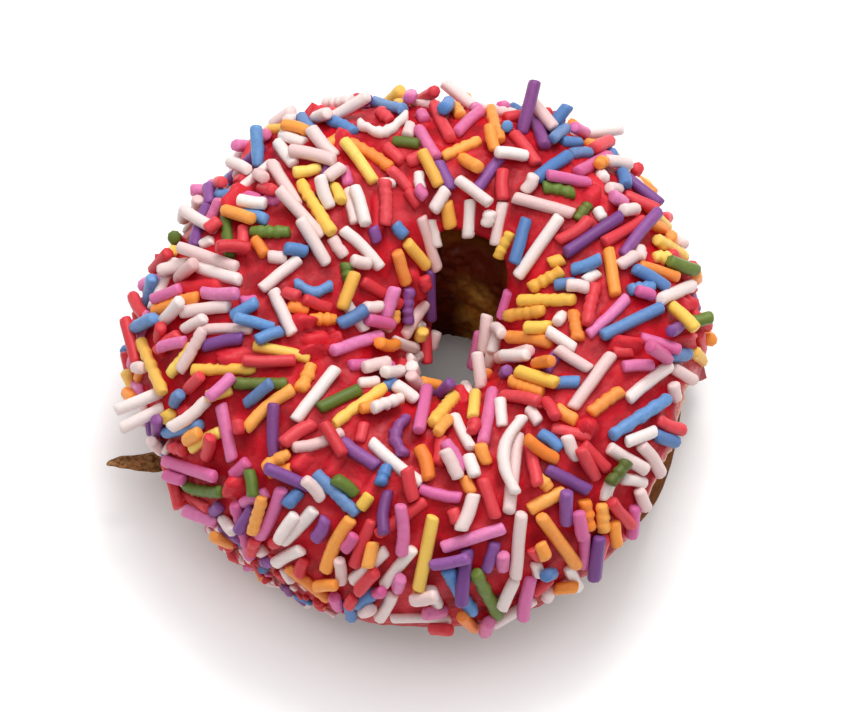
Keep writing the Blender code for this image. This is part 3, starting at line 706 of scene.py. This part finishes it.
def mark(obj, name, values):
    """Writes a number for each vertex, which a material reads by its name."""
    layer = obj.data.attributes.new(name, "FLOAT", "POINT")
    layer.data.foreach_set("value", np.asarray(values, np.float32))


def dress(obj, material, nodes):
    """Gives the piece its finish, and hides the solids it stands for."""
    obj.data.materials.clear()
    obj.data.materials.append(material)
    obj.data.shade_smooth()
    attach(obj, "root")
    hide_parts(*nodes)
    obj.select_set(False)


def unit_ring(name, steps):
    """A torus primitive, with the azimuth and the section angle of each of its vertices."""
    bpy.ops.mesh.primitive_torus_add(
        major_segments=steps[0], minor_segments=steps[1], major_radius=2, minor_radius=1
    )
    ring = new_piece(name)
    points = get_points(ring)
    phi = np.arctan2(points[:, 1], points[:, 0])
    theta = np.arctan2(points[:, 2], np.hypot(points[:, 0], points[:, 1]) - 2) % (2 * math.pi)
    return ring, phi, theta


def grain(points, size, lead=0.0):
    """Smooth noise of about -1 to 1 at each point, in lumps of the given size. Each lead gives another."""
    return np.array([noise.noise(place) for place in (points / size + lead).tolist()])


def relief(points, layers, lead=0.0):
    """Layers of noise, each given by the size of its lumps and its height."""
    return sum(
        height * grain(points, size, lead + 7 * number) for number, (size, height) in enumerate(layers)
    )


def smoothstep(low, high, value):
    t = np.clip((value - low) / (high - low), 0, 1)
    return t * t * (3 - 2 * t)


def ragged_angle(phi, across):
    """The icing's section angle with its edge torn and wavy."""
    theta = icing_angle(phi, across)
    rim = dough_point(phi, np.radians(around(phi, EDGE)))
    torn = relief(rim, RAGGED, EDGE_NOISE) * np.exp(-across / RAGGED_FADE)
    return theta + np.radians(torn * (1 + MOST_RAGGED * np.maximum(bare_strip(phi), broken_edge(phi))))


def bare_strip(phi):
    """1 where the icing stops short and leaves a strip of crust, at the lower right."""
    return smoothstep(*BARE_REACH, np.abs(wrapped(phi, BARE_AT)))


def broken_edge(phi):
    """1 where the icing's edge is crushed, at the lower left, fading out in ragged patches."""
    strayed = wrapped(phi, BROKEN_AT) + BROKEN_STRAY * grain_round(phi)
    return smoothstep(*BROKEN_REACH, np.abs(strayed))


def creased_flare(phi, across):
    """The skirt stands off the dough in creases that run down it."""
    down = np.maximum(1 - across / SKIRT_SHARE, 0)
    crease = np.sin(np.degrees(phi) / CREASE_STEP * 2 * math.pi + CREASE_SWAY * grain_round(phi))
    return skirt_flare(phi, across) + CREASE_DEPTH * crease * down * skirt_zone(phi)


def grain_round(phi):
    """Slow noise round the ring."""
    return grain(np.stack([np.cos(phi), np.sin(phi), np.zeros_like(phi)], axis=-1), ROUND_GRAIN)


def add_icing_shell(laid):
    """The icing as one closed shell: outer face, lip, inner face and torn outer edge."""
    rows = ICING_STEPS[1]
    shell, phi, theta = unit_ring("icing_shell", ICING_STEPS)
    row = np.round(theta / (2 * math.pi) * rows).astype(int) % rows
    lip_end = ICING_OUTER_ROWS + ICING_RIM_ROWS
    under_end = rows - ICING_RIM_ROWS
    outer = row < ICING_OUTER_ROWS
    lip = (row >= ICING_OUTER_ROWS) & (row < lip_end)
    under = (row >= lip_end) & (row < under_end)
    edge = row >= under_end
    share = row / (ICING_OUTER_ROWS - 1)
    across = share - ROW_CROWDING * np.sin(2 * math.pi * share) / (2 * math.pi)
    across[lip] = 1
    across[under] = 1 - (row[under] - lip_end) / (under_end - lip_end - 1)
    across[edge] = 0
    section = ragged_angle(phi, across)
    base = dough_point(phi, section)
    normal = dough_normal(phi, section)
    flare = creased_flare(phi, across)
    inner = base + normal * (ICING_GAP + flare)[:, None]
    skin = inner + normal * icing_depth(phi, across)[:, None]
    points = np.where(under[:, None], inner, skin)
    from_edge = np.minimum(across, 1 - across)
    swell = relief(skin, ICING_RELIEF) * smoothstep(0.0, SWELL_FADE, from_edge)
    broken = broken_edge(phi)
    patchy = grain(skin, PATCHES, PATCHES_NOISE) + PATCHES_GAIN * broken + PATCHES_START
    crushed = broken * smoothstep(*PATCHES_RANGE, patchy) * smoothstep(*CRUSHED_SHARE, across)
    lumps = np.abs(relief(skin, CRUSHED_RELIEF, CRUSHED_NOISE))
    swell += lumps * crushed * smoothstep(0.0, CRUSHED_FADE, across)
    points[outer] += normal[outer] * swell[outer, None]
    lump, drowned = raised(points[outer], normal[outer], laid)
    points[outer] += normal[outer] * lump[:, None]
    turned_over(points, lip, inner, phi, section, (row - ICING_OUTER_ROWS + 1) / (ICING_RIM_ROWS + 1), 1)
    turned_over(points, edge, inner, phi, section, 1 - (row - under_end + 1) / (ICING_RIM_ROWS + 1), -1)
    points[:, 2] = np.maximum(points[:, 2], OFF_FLOOR)
    set_points(shell, points)
    covered = np.zeros(len(points))
    covered[outer] = drowned
    mark(shell, "covered", covered)
    pale = np.maximum(bare_strip(phi), BROKEN_PALENESS * broken) * (1 - skirt_zone(phi))
    mark(shell, "fringe", np.exp(-across / FRINGE_FADE) * pale)
    mark(shell, "crushed", crushed)
    # The skirt's darker red, partly painted shade, and its matte finish fade in by this share
    mark(shell, "skirt", skirt_zone(phi) * smoothstep(*SKIRT_DARK, across))
    dress(shell, set_icing(), ("icing",))


def turned_over(points, rows, inner, phi, section, share, sense):
    """Rounds the icing over from its outer to its inner face, at its lip for 1 or outer edge for -1."""
    step = 0.01 * sense
    phi, section = phi[rows], section[rows]
    depth = icing_depth(phi, np.full_like(phi, (1 + sense) / 2))
    top = inner[rows] + dough_normal(phi, section) * depth[:, None]
    on = dough_point(phi, section + step) - dough_point(phi, section)
    on /= np.linalg.norm(on, axis=1, keepdims=True)
    middle = (top + inner[rows]) / 2
    half = (top - inner[rows]) / 2
    turn = math.pi * share[rows, None]
    reach = np.linalg.norm(half, axis=1, keepdims=True)
    points[rows] = middle + half * np.cos(turn) + on * reach * np.sin(turn)


def raised(points, normals, laid):
    """How far the icing rises at each point over and beside the sprinkles, and where it covers one."""
    trees = {}
    for kind in (False, True):
        spheres = np.vstack([sprinkle.spheres() for sprinkle in laid if sprinkle.drowned == kind])
        tree = KDTree(len(spheres))
        for number, sphere in enumerate(spheres):
            tree.insert(sphere[:3], number)
        tree.balance()
        trees[kind] = (tree, spheres)
    rise = np.zeros(len(points))
    covered = np.zeros(len(points))
    for kind, (tree, spheres) in trees.items():
        found = [tree.find(point)[1:] for point in points.tolist()]
        nearest = spheres[[number for number, _ in found]]
        distance = np.array([gap for _, gap in found])
        if not kind:
            gap = np.maximum(distance - nearest[:, 3], 0)
            rise += CREEP_HEIGHT * np.exp(-((gap / CREEP_WIDTH) ** 2))
            continue
        up = np.einsum("ij,ij->i", nearest[:, :3] - points, normals)
        flat = np.sqrt(np.maximum(distance**2 - up**2, 0))
        coat = nearest[:, 3] + DROWNED_COAT
        over = up + np.sqrt(np.maximum(coat**2 - flat**2, 0)) - 2 * np.maximum(flat - coat, 0)
        soft = (over + np.sqrt(over**2 + DROWNED_SOFTNESS**2)) / 2 * smoothstep(*DROWNED_REACH, distance)
        rise += soft
        covered = smoothstep(*COVERED, soft)
    return rise, covered


def add_dough_ring():
    """The dough: browned crust, flat underneath, with torn crumb on the far wall of its hole."""
    ring, phi, theta = unit_ring("dough_ring", DOUGH_STEPS)
    theta = theta - DOUGH_CROWDING * np.sin(theta - math.radians(DOUGH_CROWDED_AT))
    points = dough_point(phi, theta)
    normal = dough_normal(phi, theta)
    above_foot = smoothstep(*TORN_UNTIL, np.degrees(theta))
    wall = smoothstep(*TORN_PAST_LIP, np.degrees(theta) - around(phi, LIP)) * above_foot
    torn = smoothstep(*TORN_REACH, np.abs(wrapped(phi, TORN_AT))) * wall
    crags = CRAG_LIFT - np.abs(relief(points, TORN_RELIEF, TORN_NOISE)) * CRAG_DEPTH
    lift = relief(points, CRUST_RELIEF, CRUST_NOISE) * (1 - torn) + crags * torn
    lift *= smoothstep(0.0, FOOT_FADE, points[:, 2])
    points = points + normal * lift[:, None]
    points[:, 2] = np.maximum(points[:, 2], 0)
    set_points(ring, points)
    strayed = wrapped(phi, GOLDEN_AT) + GOLDEN_STRAY * grain(points, GOLDEN_LUMPS)
    golden = smoothstep(*GOLDEN_REACH, np.abs(strayed))
    golden *= smoothstep(*GOLDEN_FROM, np.degrees(theta)) * above_foot
    mark(ring, "torn", golden * wall)
    # The whole wall in the hole, whose colour is darkened as painted shade
    mark(ring, "soak_stain_and_hole_shade", wall)
    mark(ring, "wet", wall * (1 - golden) * smoothstep(*WET_HEIGHTS, points[:, 2]))
    mark(ring, "waist", np.exp(-((wrapped(theta, WAIST_AT) / WAIST_SPREAD) ** 2)))
    dress(ring, fried_dough(), ("dough",))


def add_torn_leaf():
    """A thin leaf of crust that points away from the ring, with a wavy blade."""
    segments, rings = LEAF_STEPS
    bpy.ops.mesh.primitive_uv_sphere_add(segments=segments, ring_count=rings, radius=1)
    leaf = new_piece("crust_leaf")
    breadth, thickness, height = get_points(leaf).T
    share = (height + 1) / 2
    turn = math.radians(FLAKE_AT)
    reach = FLAKE_ROOT + (FLAKE_TIP - FLAKE_ROOT) * share
    width = FLAKE_HALF_WIDTH * (1 - FLAKE_NARROWING * share)
    sideways = breadth * width + FLAKE_WAVE * np.sin(FLAKE_SWAYS * share)
    curl = FLAKE_RISE * share**2 + FLAKE_WAVE * np.sin(FLAKE_CURLS * share + 1) + FLAKE_WAVE * breadth
    x = SHIFT[0] + reach * math.cos(turn) - sideways * math.sin(turn)
    y = SHIFT[1] + reach * math.sin(turn) + sideways * math.cos(turn)
    z = FLAKE_HEIGHT + curl + thickness * FLAKE_HALF_THICKNESS
    points = np.stack([x, y, z], axis=-1)
    points[:, 2] += relief(points, [WRINKLES], WRINKLES_NOISE)
    points[:, 1] += relief(points, [FRAYS], FRAYS_NOISE) * np.abs(breadth)
    set_points(leaf, points)
    dress(leaf, dried_crust(), ("dough",))


def rod_template(body):
    """One rod's faces from a sphere primitive, with the ring and turn of each vertex, and each ring's place.

    A place is the share of the rod's length, how far out it lies past that in radii, and its width in radii.
    """
    rings = 2 * (len(ROD_END) - 1) + body
    bpy.ops.mesh.primitive_uv_sphere_add(segments=ROD_SIDES, ring_count=rings + 1, radius=1)
    rod = bpy.context.object
    points = get_points(rod)
    faces = [tuple(face.vertices) for face in rod.data.polygons]
    bpy.data.objects.remove(rod, do_unlink=True)
    ring = np.round(np.arccos(np.clip(-points[:, 2], -1, 1)) / math.pi * (rings + 1)).astype(int)
    turn = np.arctan2(points[:, 1], points[:, 0])
    ends = len(ROD_END)
    shares = np.concatenate([np.full(ends, -1.0), np.linspace(-1, 1, body + 2)[1:-1], np.full(ends, 1.0)])
    out, wide = np.array(ROD_END).T
    outs = np.concatenate([-out, np.zeros(body), out[::-1]])
    wides = np.concatenate([wide, np.ones(body), wide[::-1]])
    return faces, ring, turn, np.stack([shares, outs, wides])


def rod_points(sprinkle, template, knobbly, draw):
    """The vertices of one sprinkle: uneven along its length, and broken off a little askew."""
    _, ring, turn, (shares, outs, wides) = template
    along = sprinkle.reach(shares)
    uneven, swaying = KNOBBLY_BODY_WEAR if knobbly else PLAIN_BODY_WEAR
    wide = wides * np.array([1 + uneven * draw.uniform(-1, 1) for _ in shares])
    if knobbly:
        spacing = KNOB_SPACING * draw.uniform(*KNOB_STRETCH)
        wave = np.cos(2 * math.pi * along / spacing + draw.uniform(0, 6))
        wide *= 1 + KNOBS * draw.uniform(*KNOB_DEPTHS) * wave
    lift = (sprinkle.up - sprinkle.along * sprinkle.lean).normalized()
    run = (sprinkle.along + sprinkle.up * sprinkle.lean).normalized()
    spine = sprinkle.path(shares) + np.outer(outs * draw.uniform(*END_REACH) * sprinkle.radius, run)
    sway = [swaying * sprinkle.radius * draw.gauss(0, 1) for _ in shares]
    spine += np.outer(sway, sprinkle.side)
    across = np.outer(np.cos(turn), sprinkle.side) + np.outer(np.sin(turn), lift)
    width = wide[ring] * sprinkle.radius
    points = spine[ring] + across * width[:, None]
    askew = np.cos(turn) * draw.uniform(-ASKEW, ASKEW) + np.sin(turn) * draw.uniform(-ASKEW, ASKEW)
    end = np.abs(shares[ring]) == 1
    points[end] += np.outer((askew * width)[end], run)
    return points


def add_sprinkles(laid, skin):
    """The sprinkles, as one piece for each colour."""
    draw = random.Random(DETAIL_SEED)
    plain, knobbly = rod_template(PLAIN_BODY), rod_template(KNOBBLY_BODY)
    for colour in COLOURS:
        corners, faces, shades, soak_stain_and_hole_shade = [], [], [], []
        for sprinkle in laid:
            if sprinkle.colour != colour or sprinkle.drowned:
                continue
            knobs = draw.random() < KNOBBLY_SHARES[colour] and abs(sprinkle.lean) < LEAST_STANDING
            template = knobbly if knobs or abs(sprinkle.bend) > BENT_FROM else plain
            faces += [tuple(corner + len(corners) for corner in face) for face in template[0]]
            points = rod_points(sprinkle, template, knobs, draw)
            corners += points.tolist()
            shades += [draw.random()] * len(points)
            soak_stain_and_hole_shade += [draw.random() ** 2] * len(points)
        mesh = bpy.data.meshes.new(f"{colour}_sprinkles")
        mesh.from_pydata(corners, [], faces)
        piece = bpy.data.objects.new(mesh.name, mesh)
        bpy.context.scene.collection.objects.link(piece)
        height = np.array([skin.tree.find_nearest(corner)[3] for corner in corners])
        stain = STAIN_MOST * (1 - smoothstep(0, STAIN_HEIGHT, height)) + SOAKED_MOST * np.array(soak_stain_and_hole_shade)
        mark(piece, "shade", shades)
        mark(piece, "stain", np.clip(stain, 0, 1))
        dress(piece, pressed_sugar(colour), ("icing",))


def shards():
    """Crushed bits of sprinkle that stick to the icing's edge at the lower left."""
    draw = random.Random(DETAIL_SEED + 1)
    made = []
    for _ in range(SHARDS):
        phi = np.array([math.radians(draw.triangular(SHARDS_FROM, SHARDS_TO, SHARDS_MOST_AT))])
        across = np.array([abs(draw.gauss(0, SHARD_SCATTER)) + SHARD_OFF_EDGE])
        middle = Vector(icing_skin(phi, across)[0])
        up = Vector(dough_normal(phi, icing_angle(phi, across))[0])
        along = Vector((draw.gauss(0, 1), draw.gauss(0, 1), draw.gauss(0, 1)))
        colour = draw.choices(list(SHARD_COLOURS), list(SHARD_COLOURS.values()))[0]
        radius = draw.uniform(*SHARD_RADII)
        length = max(draw.uniform(*SHARD_LENGTHS), SHARD_STUBBIEST * radius)
        bit = Sprinkle(colour, length, radius, 0, 0)
        bit.lay(middle, along, up, radius * draw.uniform(*SHARD_HEIGHTS), draw.uniform(*SHARD_LEANS))
        made.append(bit)
    return made


def srgb(code):
    """A hex colour as linear red, green, blue and alpha."""
    parts = [int(code[place : place + 2], 16) / 255 for place in (0, 2, 4)]
    return (*[part / 12.92 if part <= 0.04045 else ((part + 0.055) / 1.055) ** 2.4 for part in parts], 1)


def new_finish(name):
    made = bpy.data.materials.new(name)
    made.use_nodes = True
    tree = made.node_tree
    return made, tree, tree.nodes["Principled BSDF"]


def feed(tree, node, inputs):
    """Gives each of a node's inputs its value, or joins it to another node's output."""
    for name, value in inputs.items():
        if isinstance(value, bpy.types.NodeSocket):
            tree.links.new(value, node.inputs[name])
        else:
            node.inputs[name].default_value = value


def add(tree, kind, inputs, output, **settings):
    """Adds a node with its settings and links, and gives back one of its outputs."""
    node = tree.nodes.new(kind)
    for name, value in settings.items():
        setattr(node, name, value)
    feed(tree, node, inputs)
    return node.outputs[output]


def set_icing():
    """Sugar icing that set with a skin: a satin red, cloudy where it is thick, with a fine sugary grain."""
    made, tree, shader = new_finish("set_red_sugar_icing")
    place = add(tree, "ShaderNodeTexCoord", {}, "Object")
    cloud = add(tree, "ShaderNodeTexNoise", {"Vector": place, "Scale": 1 / CLOUDS, "Detail": 3.0}, "Fac")
    cloud = add(tree, "ShaderNodeMapRange", {"Value": cloud, "From Min": 0.36, "From Max": 0.66}, "Result")
    red = add(tree, "ShaderNodeMix", {0: cloud, 6: srgb("cb1626"), 7: srgb("990b1a")}, 2, data_type="RGBA")
    bloom = add(tree, "ShaderNodeTexNoise", {"Vector": place, "Scale": 1 / BLOOM, "Detail": 5.0}, "Fac")
    bloom = {"Value": bloom, "From Min": 0.54, "From Max": 0.72, "To Max": 0.5}
    bloom = add(tree, "ShaderNodeMapRange", bloom, "Result")
    red = add(tree, "ShaderNodeMix", {0: bloom, 6: red, 7: srgb("de4c57")}, 2, data_type="RGBA")
    # Where crushed, the icing is mottled dark red and pale pink: the dark red is its own, the pale specks are
    # partly its own and partly painted highlights
    crumbs = add(tree, "ShaderNodeTexNoise", {"Vector": place, "Scale": 1 / CRUMB_AND_GLINT_SPECKS, "Detail": 3.0}, "Fac")
    crumbs = add(tree, "ShaderNodeMapRange", {"Value": crumbs, "From Min": 0.45, "From Max": 0.62}, "Result")
    broken = {0: crumbs, 6: srgb("7c0c1a"), 7: srgb("c9605f")}
    broken = add(tree, "ShaderNodeMix", broken, 2, data_type="RGBA")
    crushed = add(tree, "ShaderNodeAttribute", {}, "Fac", attribute_name="crushed")
    red = add(tree, "ShaderNodeMix", {0: crushed, 6: red, 7: broken}, 2, data_type="RGBA")
    # The skirt's deep red is partly painted shade; covered and fringe are the icing's own colours
    for name, code in (("covered", "d8303c"), ("skirt", "860a1a"), ("fringe", "dba78c")):
        share = add(tree, "ShaderNodeAttribute", {}, "Fac", attribute_name=name)
        red = add(tree, "ShaderNodeMix", {0: share, 6: red, 7: srgb(code)}, 2, data_type="RGBA")
    sheen = add(tree, "ShaderNodeTexNoise", {"Vector": place, "Scale": 1 / SHEEN, "Detail": 2.0}, "Fac")
    sheen = {"Value": sheen, "From Min": 0.35, "From Max": 0.65, "To Min": 0.26, "To Max": 0.5}
    sheen = add(tree, "ShaderNodeMapRange", sheen, "Result")
    grains = {"Vector": place, "Scale": 1 / ICING_GRAIN, "Detail": 6.0, "Roughness": 0.62}
    grains = add(tree, "ShaderNodeTexNoise", grains, "Fac")
    bumps = add(tree, "ShaderNodeBump", {"Height": grains, "Distance": 0.22 * MM, "Strength": 0.85}, "Normal")
    skirt = add(tree, "ShaderNodeAttribute", {}, "Fac", attribute_name="skirt")
    sheen = add(tree, "ShaderNodeMix", {0: skirt, 2: sheen, 3: 0.8}, 0, data_type="FLOAT")
    feed(
        tree,
        shader,
        {
            "Base Color": red,
            "Roughness": sheen,
            "Specular IOR Level": 0.16,
            "Subsurface Weight": 0.1,
            "Subsurface Radius": (1.0, 0.12, 0.1),
            "Subsurface Scale": 0.9 * MM,
            "Normal": bumps,
        },
    )
    return made


def pressed_sugar(colour):
    """Rods of pressed sugar paste: smooth and chalky, faintly pitted, stained red where icing wets them."""
    light, deep = SPRINKLE_HEX[colour]
    made, tree, shader = new_finish(f"pressed_sugar_{colour}")
    place = add(tree, "ShaderNodeTexCoord", {}, "Object")
    shade = add(tree, "ShaderNodeAttribute", {}, "Fac", attribute_name="shade")
    paste = add(tree, "ShaderNodeMix", {0: shade, 6: srgb(light), 7: srgb(deep)}, 2, data_type="RGBA")
    cloud = {"Vector": place, "Scale": 1 / PASTE_CLOUDS, "Detail": 3.0}
    cloud = add(tree, "ShaderNodeTexNoise", cloud, "Fac")
    cloud = {"Value": cloud, "From Min": 0.42, "From Max": 0.7, "To Max": 0.5}
    cloud = add(tree, "ShaderNodeMapRange", cloud, "Result")
    paste = add(tree, "ShaderNodeMix", {0: cloud, 6: paste, 7: srgb(deep)}, 2, data_type="RGBA")
    dyed = {0: 1.0, 6: paste, 7: srgb("d8404e")}
    dyed = add(tree, "ShaderNodeMix", dyed, 2, data_type="RGBA", blend_type="MULTIPLY")
    stain = add(tree, "ShaderNodeAttribute", {}, "Fac", attribute_name="stain")
    paste = add(tree, "ShaderNodeMix", {0: stain, 6: paste, 7: dyed}, 2, data_type="RGBA")
    pits = {"Vector": place, "Scale": 1 / PITS, "Detail": 3.0, "Roughness": 0.6}
    pits = add(tree, "ShaderNodeTexNoise", pits, "Fac")
    bumps = add(tree, "ShaderNodeBump", {"Height": pits, "Distance": 0.07 * MM, "Strength": 0.9}, "Normal")
    feed(
        tree,
        shader,
        {
            "Base Color": paste,
            "Roughness": 0.42,
            "Specular IOR Level": 0.34,
            "Subsurface Weight": 0.15,
            "Subsurface Radius": (1.0, 0.8, 0.7),
            "Subsurface Scale": 0.3 * MM,
            "Normal": bumps,
        },
    )
    return made


def fried_dough():
    """Fried dough: a dry browned crust, and a wall in the hole painted dark as shade and glossy with syrup in
    places, golden where crumb is torn.
    """
    made, tree, shader = new_finish("fried_dough_crust")
    place = add(tree, "ShaderNodeTexCoord", {}, "Object")
    patch = {"Vector": place, "Scale": 1 / CRUST_PATCHES, "Detail": 4.0}
    patch = add(tree, "ShaderNodeTexNoise", patch, "Fac")
    patch = add(tree, "ShaderNodeMapRange", {"Value": patch, "From Min": 0.35, "From Max": 0.68}, "Result")
    crust = add(tree, "ShaderNodeMix", {0: patch, 6: srgb("743d08"), 7: srgb("4c2405")}, 2, data_type="RGBA")
    waist = add(tree, "ShaderNodeAttribute", {}, "Fac", attribute_name="waist")
    crust = add(tree, "ShaderNodeMix", {0: waist, 6: crust, 7: srgb("8c4906")}, 2, data_type="RGBA")
    speck = {"Vector": place, "Scale": 1 / CRUST_SPECKS, "Detail": 3.0}
    speck = add(tree, "ShaderNodeTexNoise", speck, "Fac")
    speck = {"Value": speck, "From Min": 0.5, "From Max": 0.7, "To Max": 0.9}
    speck = add(tree, "ShaderNodeMapRange", speck, "Result")
    crust = add(tree, "ShaderNodeMix", {0: speck, 6: crust, 7: srgb("4a2208")}, 2, data_type="RGBA")
    # The wall in the hole is painted dark brown here, as painted shade
    soak_stain_and_hole_shade = add(tree, "ShaderNodeAttribute", {}, "Fac", attribute_name="soak_stain_and_hole_shade")
    crust = add(tree, "ShaderNodeMix", {0: soak_stain_and_hole_shade, 6: crust, 7: srgb("4a1605")}, 2, data_type="RGBA")
    ridge = {"Vector": place, "Scale": 1 / CRUMB_RIDGES, "Detail": 4.0, "Roughness": 0.55}
    ridge = add(tree, "ShaderNodeTexNoise", ridge, "Fac")
    ridge = add(tree, "ShaderNodeMapRange", {"Value": ridge, "From Min": 0.36, "From Max": 0.66}, "Result")
    crumb = add(tree, "ShaderNodeMix", {0: ridge, 6: srgb("8c4e16"), 7: srgb("e6b654")}, 2, data_type="RGBA")
    torn = add(tree, "ShaderNodeAttribute", {}, "Fac", attribute_name="torn")
    dough = add(tree, "ShaderNodeMix", {0: torn, 6: crust, 7: crumb}, 2, data_type="RGBA")
    wet = add(tree, "ShaderNodeAttribute", {}, "Fac", attribute_name="wet")
    shine = add(tree, "ShaderNodeMapRange", {"Value": wet, "To Min": 0.75, "To Max": 0.3}, "Result")
    grains = {"Vector": place, "Scale": 1 / CRUST_GRAIN, "Detail": 5.0, "Roughness": 0.65}
    grains = add(tree, "ShaderNodeTexNoise", grains, "Fac")
    bumps = add(tree, "ShaderNodeBump", {"Height": grains, "Distance": 0.22 * MM, "Strength": 0.9}, "Normal")
    syrup = add(tree, "ShaderNodeMapRange", {"Value": wet, "To Max": 0.09}, "Result")
    feed(
        tree,
        shader,
        {
            "Base Color": dough,
            "Roughness": shine,
            "Specular IOR Level": 0.03,
            "Coat Weight": syrup,
            "Coat Roughness": 0.22,
            "Normal": bumps,
        },
    )
    return made


def dried_crust():
    """A torn leaf of crust, fried thin and dry: papery, with darker ribs."""
    made, tree, shader = new_finish("dried_crust_leaf")
    place = add(tree, "ShaderNodeTexCoord", {}, "Object")
    ribs = {"Vector": place, "Scale": 1 / LEAF_RIBS, "Detail": 4.0, "Roughness": 0.6}
    ribs = add(tree, "ShaderNodeTexNoise", ribs, "Fac")
    share = add(tree, "ShaderNodeMapRange", {"Value": ribs, "From Min": 0.42, "From Max": 0.62}, "Result")
    crust = add(tree, "ShaderNodeMix", {0: share, 6: srgb("a57b4c"), 7: srgb("5e3a1c")}, 2, data_type="RGBA")
    bumps = add(tree, "ShaderNodeBump", {"Height": ribs, "Distance": 0.3 * MM, "Strength": 1.0}, "Normal")
    feed(tree, shader, {"Base Color": crust, "Roughness": 0.7, "Specular IOR Level": 0.15, "Normal": bumps})
    return made


def add_camera():
    """A long lens, high in front of the ring, as the doughnut was seen."""
    tilt = math.radians(SEEN_FROM)
    above = Vector((0, math.sin(tilt), math.cos(tilt)))
    back = Vector((0, -math.cos(tilt), math.sin(tilt)))
    aim = Vector((*SHIFT, SEEN_MIDDLE)) + Vector((AIM_RIGHT, 0, 0)) + above * AIM_ABOVE
    data = bpy.data.cameras.new("camera")
    data.sensor_width = SENSOR
    data.lens = SENSOR * CAMERA_FAR / PICTURE_WIDE
    data.clip_start = NEAREST_SEEN
    camera = bpy.data.objects.new("camera", data)
    camera.location = aim + back * CAMERA_FAR
    camera.rotation_euler = (math.pi / 2 - tilt, 0, 0)
    bpy.context.scene.collection.objects.link(camera)
    bpy.context.scene.camera = camera


def add_softbox(name, place, size, power):
    """A square soft light that faces the ring."""
    data = bpy.data.lights.new(name, "AREA")
    data.size = size
    data.energy = power
    light = bpy.data.objects.new(name, data)
    light.location = place
    light.rotation_euler = (-Vector(place)).to_track_quat("-Z", "Y").to_euler()
    bpy.context.scene.collection.objects.link(light)


def add_studio():
    """A white paper floor with a painted glow that fades to painted shade under the ring, a bright room and
    soft lights above and behind.
    """
    bpy.ops.mesh.primitive_plane_add(size=FLOOR_WIDE, location=(0, 0, -FLOOR_DROP))
    floor = new_piece("paper_floor")
    made, tree, shader = new_finish("white_paper_painted_glow")
    place = add(tree, "ShaderNodeTexCoord", {}, "Object")
    # The floor's emission is painted light, dimmed towards the ring's middle as painted shade
    far = add(tree, "ShaderNodeVectorMath", {0: place}, "Value", operation="LENGTH")
    glow = {"Value": far, "From Max": GLOW_SHADE_RADIUS, "To Max": PAINTED_FLOOR_GLOW}
    glow = add(tree, "ShaderNodeMapRange", glow, "Result")
    feed(
        tree,
        shader,
        {
            "Base Color": srgb("f4f4f4"),
            "Emission Color": (1, 1, 1, 1),
            "Emission Strength": glow,
            "Roughness": 0.9,
            "Specular IOR Level": 0.1,
        },
    )
    floor.data.materials.append(made)
    world = bpy.data.worlds.new("bright_room")
    world.use_nodes = True
    room = world.node_tree
    feed(room, room.nodes["Background"], {"Color": (1, 1, 1, 1), "Strength": ROOM_LIGHT})
    bpy.context.scene.world = world
    for light in LIGHTS:
        add_softbox(*light)
    bpy.context.scene.view_settings.view_transform = "Standard"


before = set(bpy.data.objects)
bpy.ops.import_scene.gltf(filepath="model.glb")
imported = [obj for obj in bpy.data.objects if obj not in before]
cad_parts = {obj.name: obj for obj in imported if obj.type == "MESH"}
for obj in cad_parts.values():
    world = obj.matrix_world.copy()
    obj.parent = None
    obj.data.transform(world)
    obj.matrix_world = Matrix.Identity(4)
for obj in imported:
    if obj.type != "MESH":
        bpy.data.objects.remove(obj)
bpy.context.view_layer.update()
bpy.ops.object.select_all(action="DESELECT")
add_camera()
add_studio()
skin = Skin()
laid = scatter(skin)
add_icing_shell(laid)
add_dough_ring()
add_torn_leaf()
add_sprinkles(laid + shards(), skin)
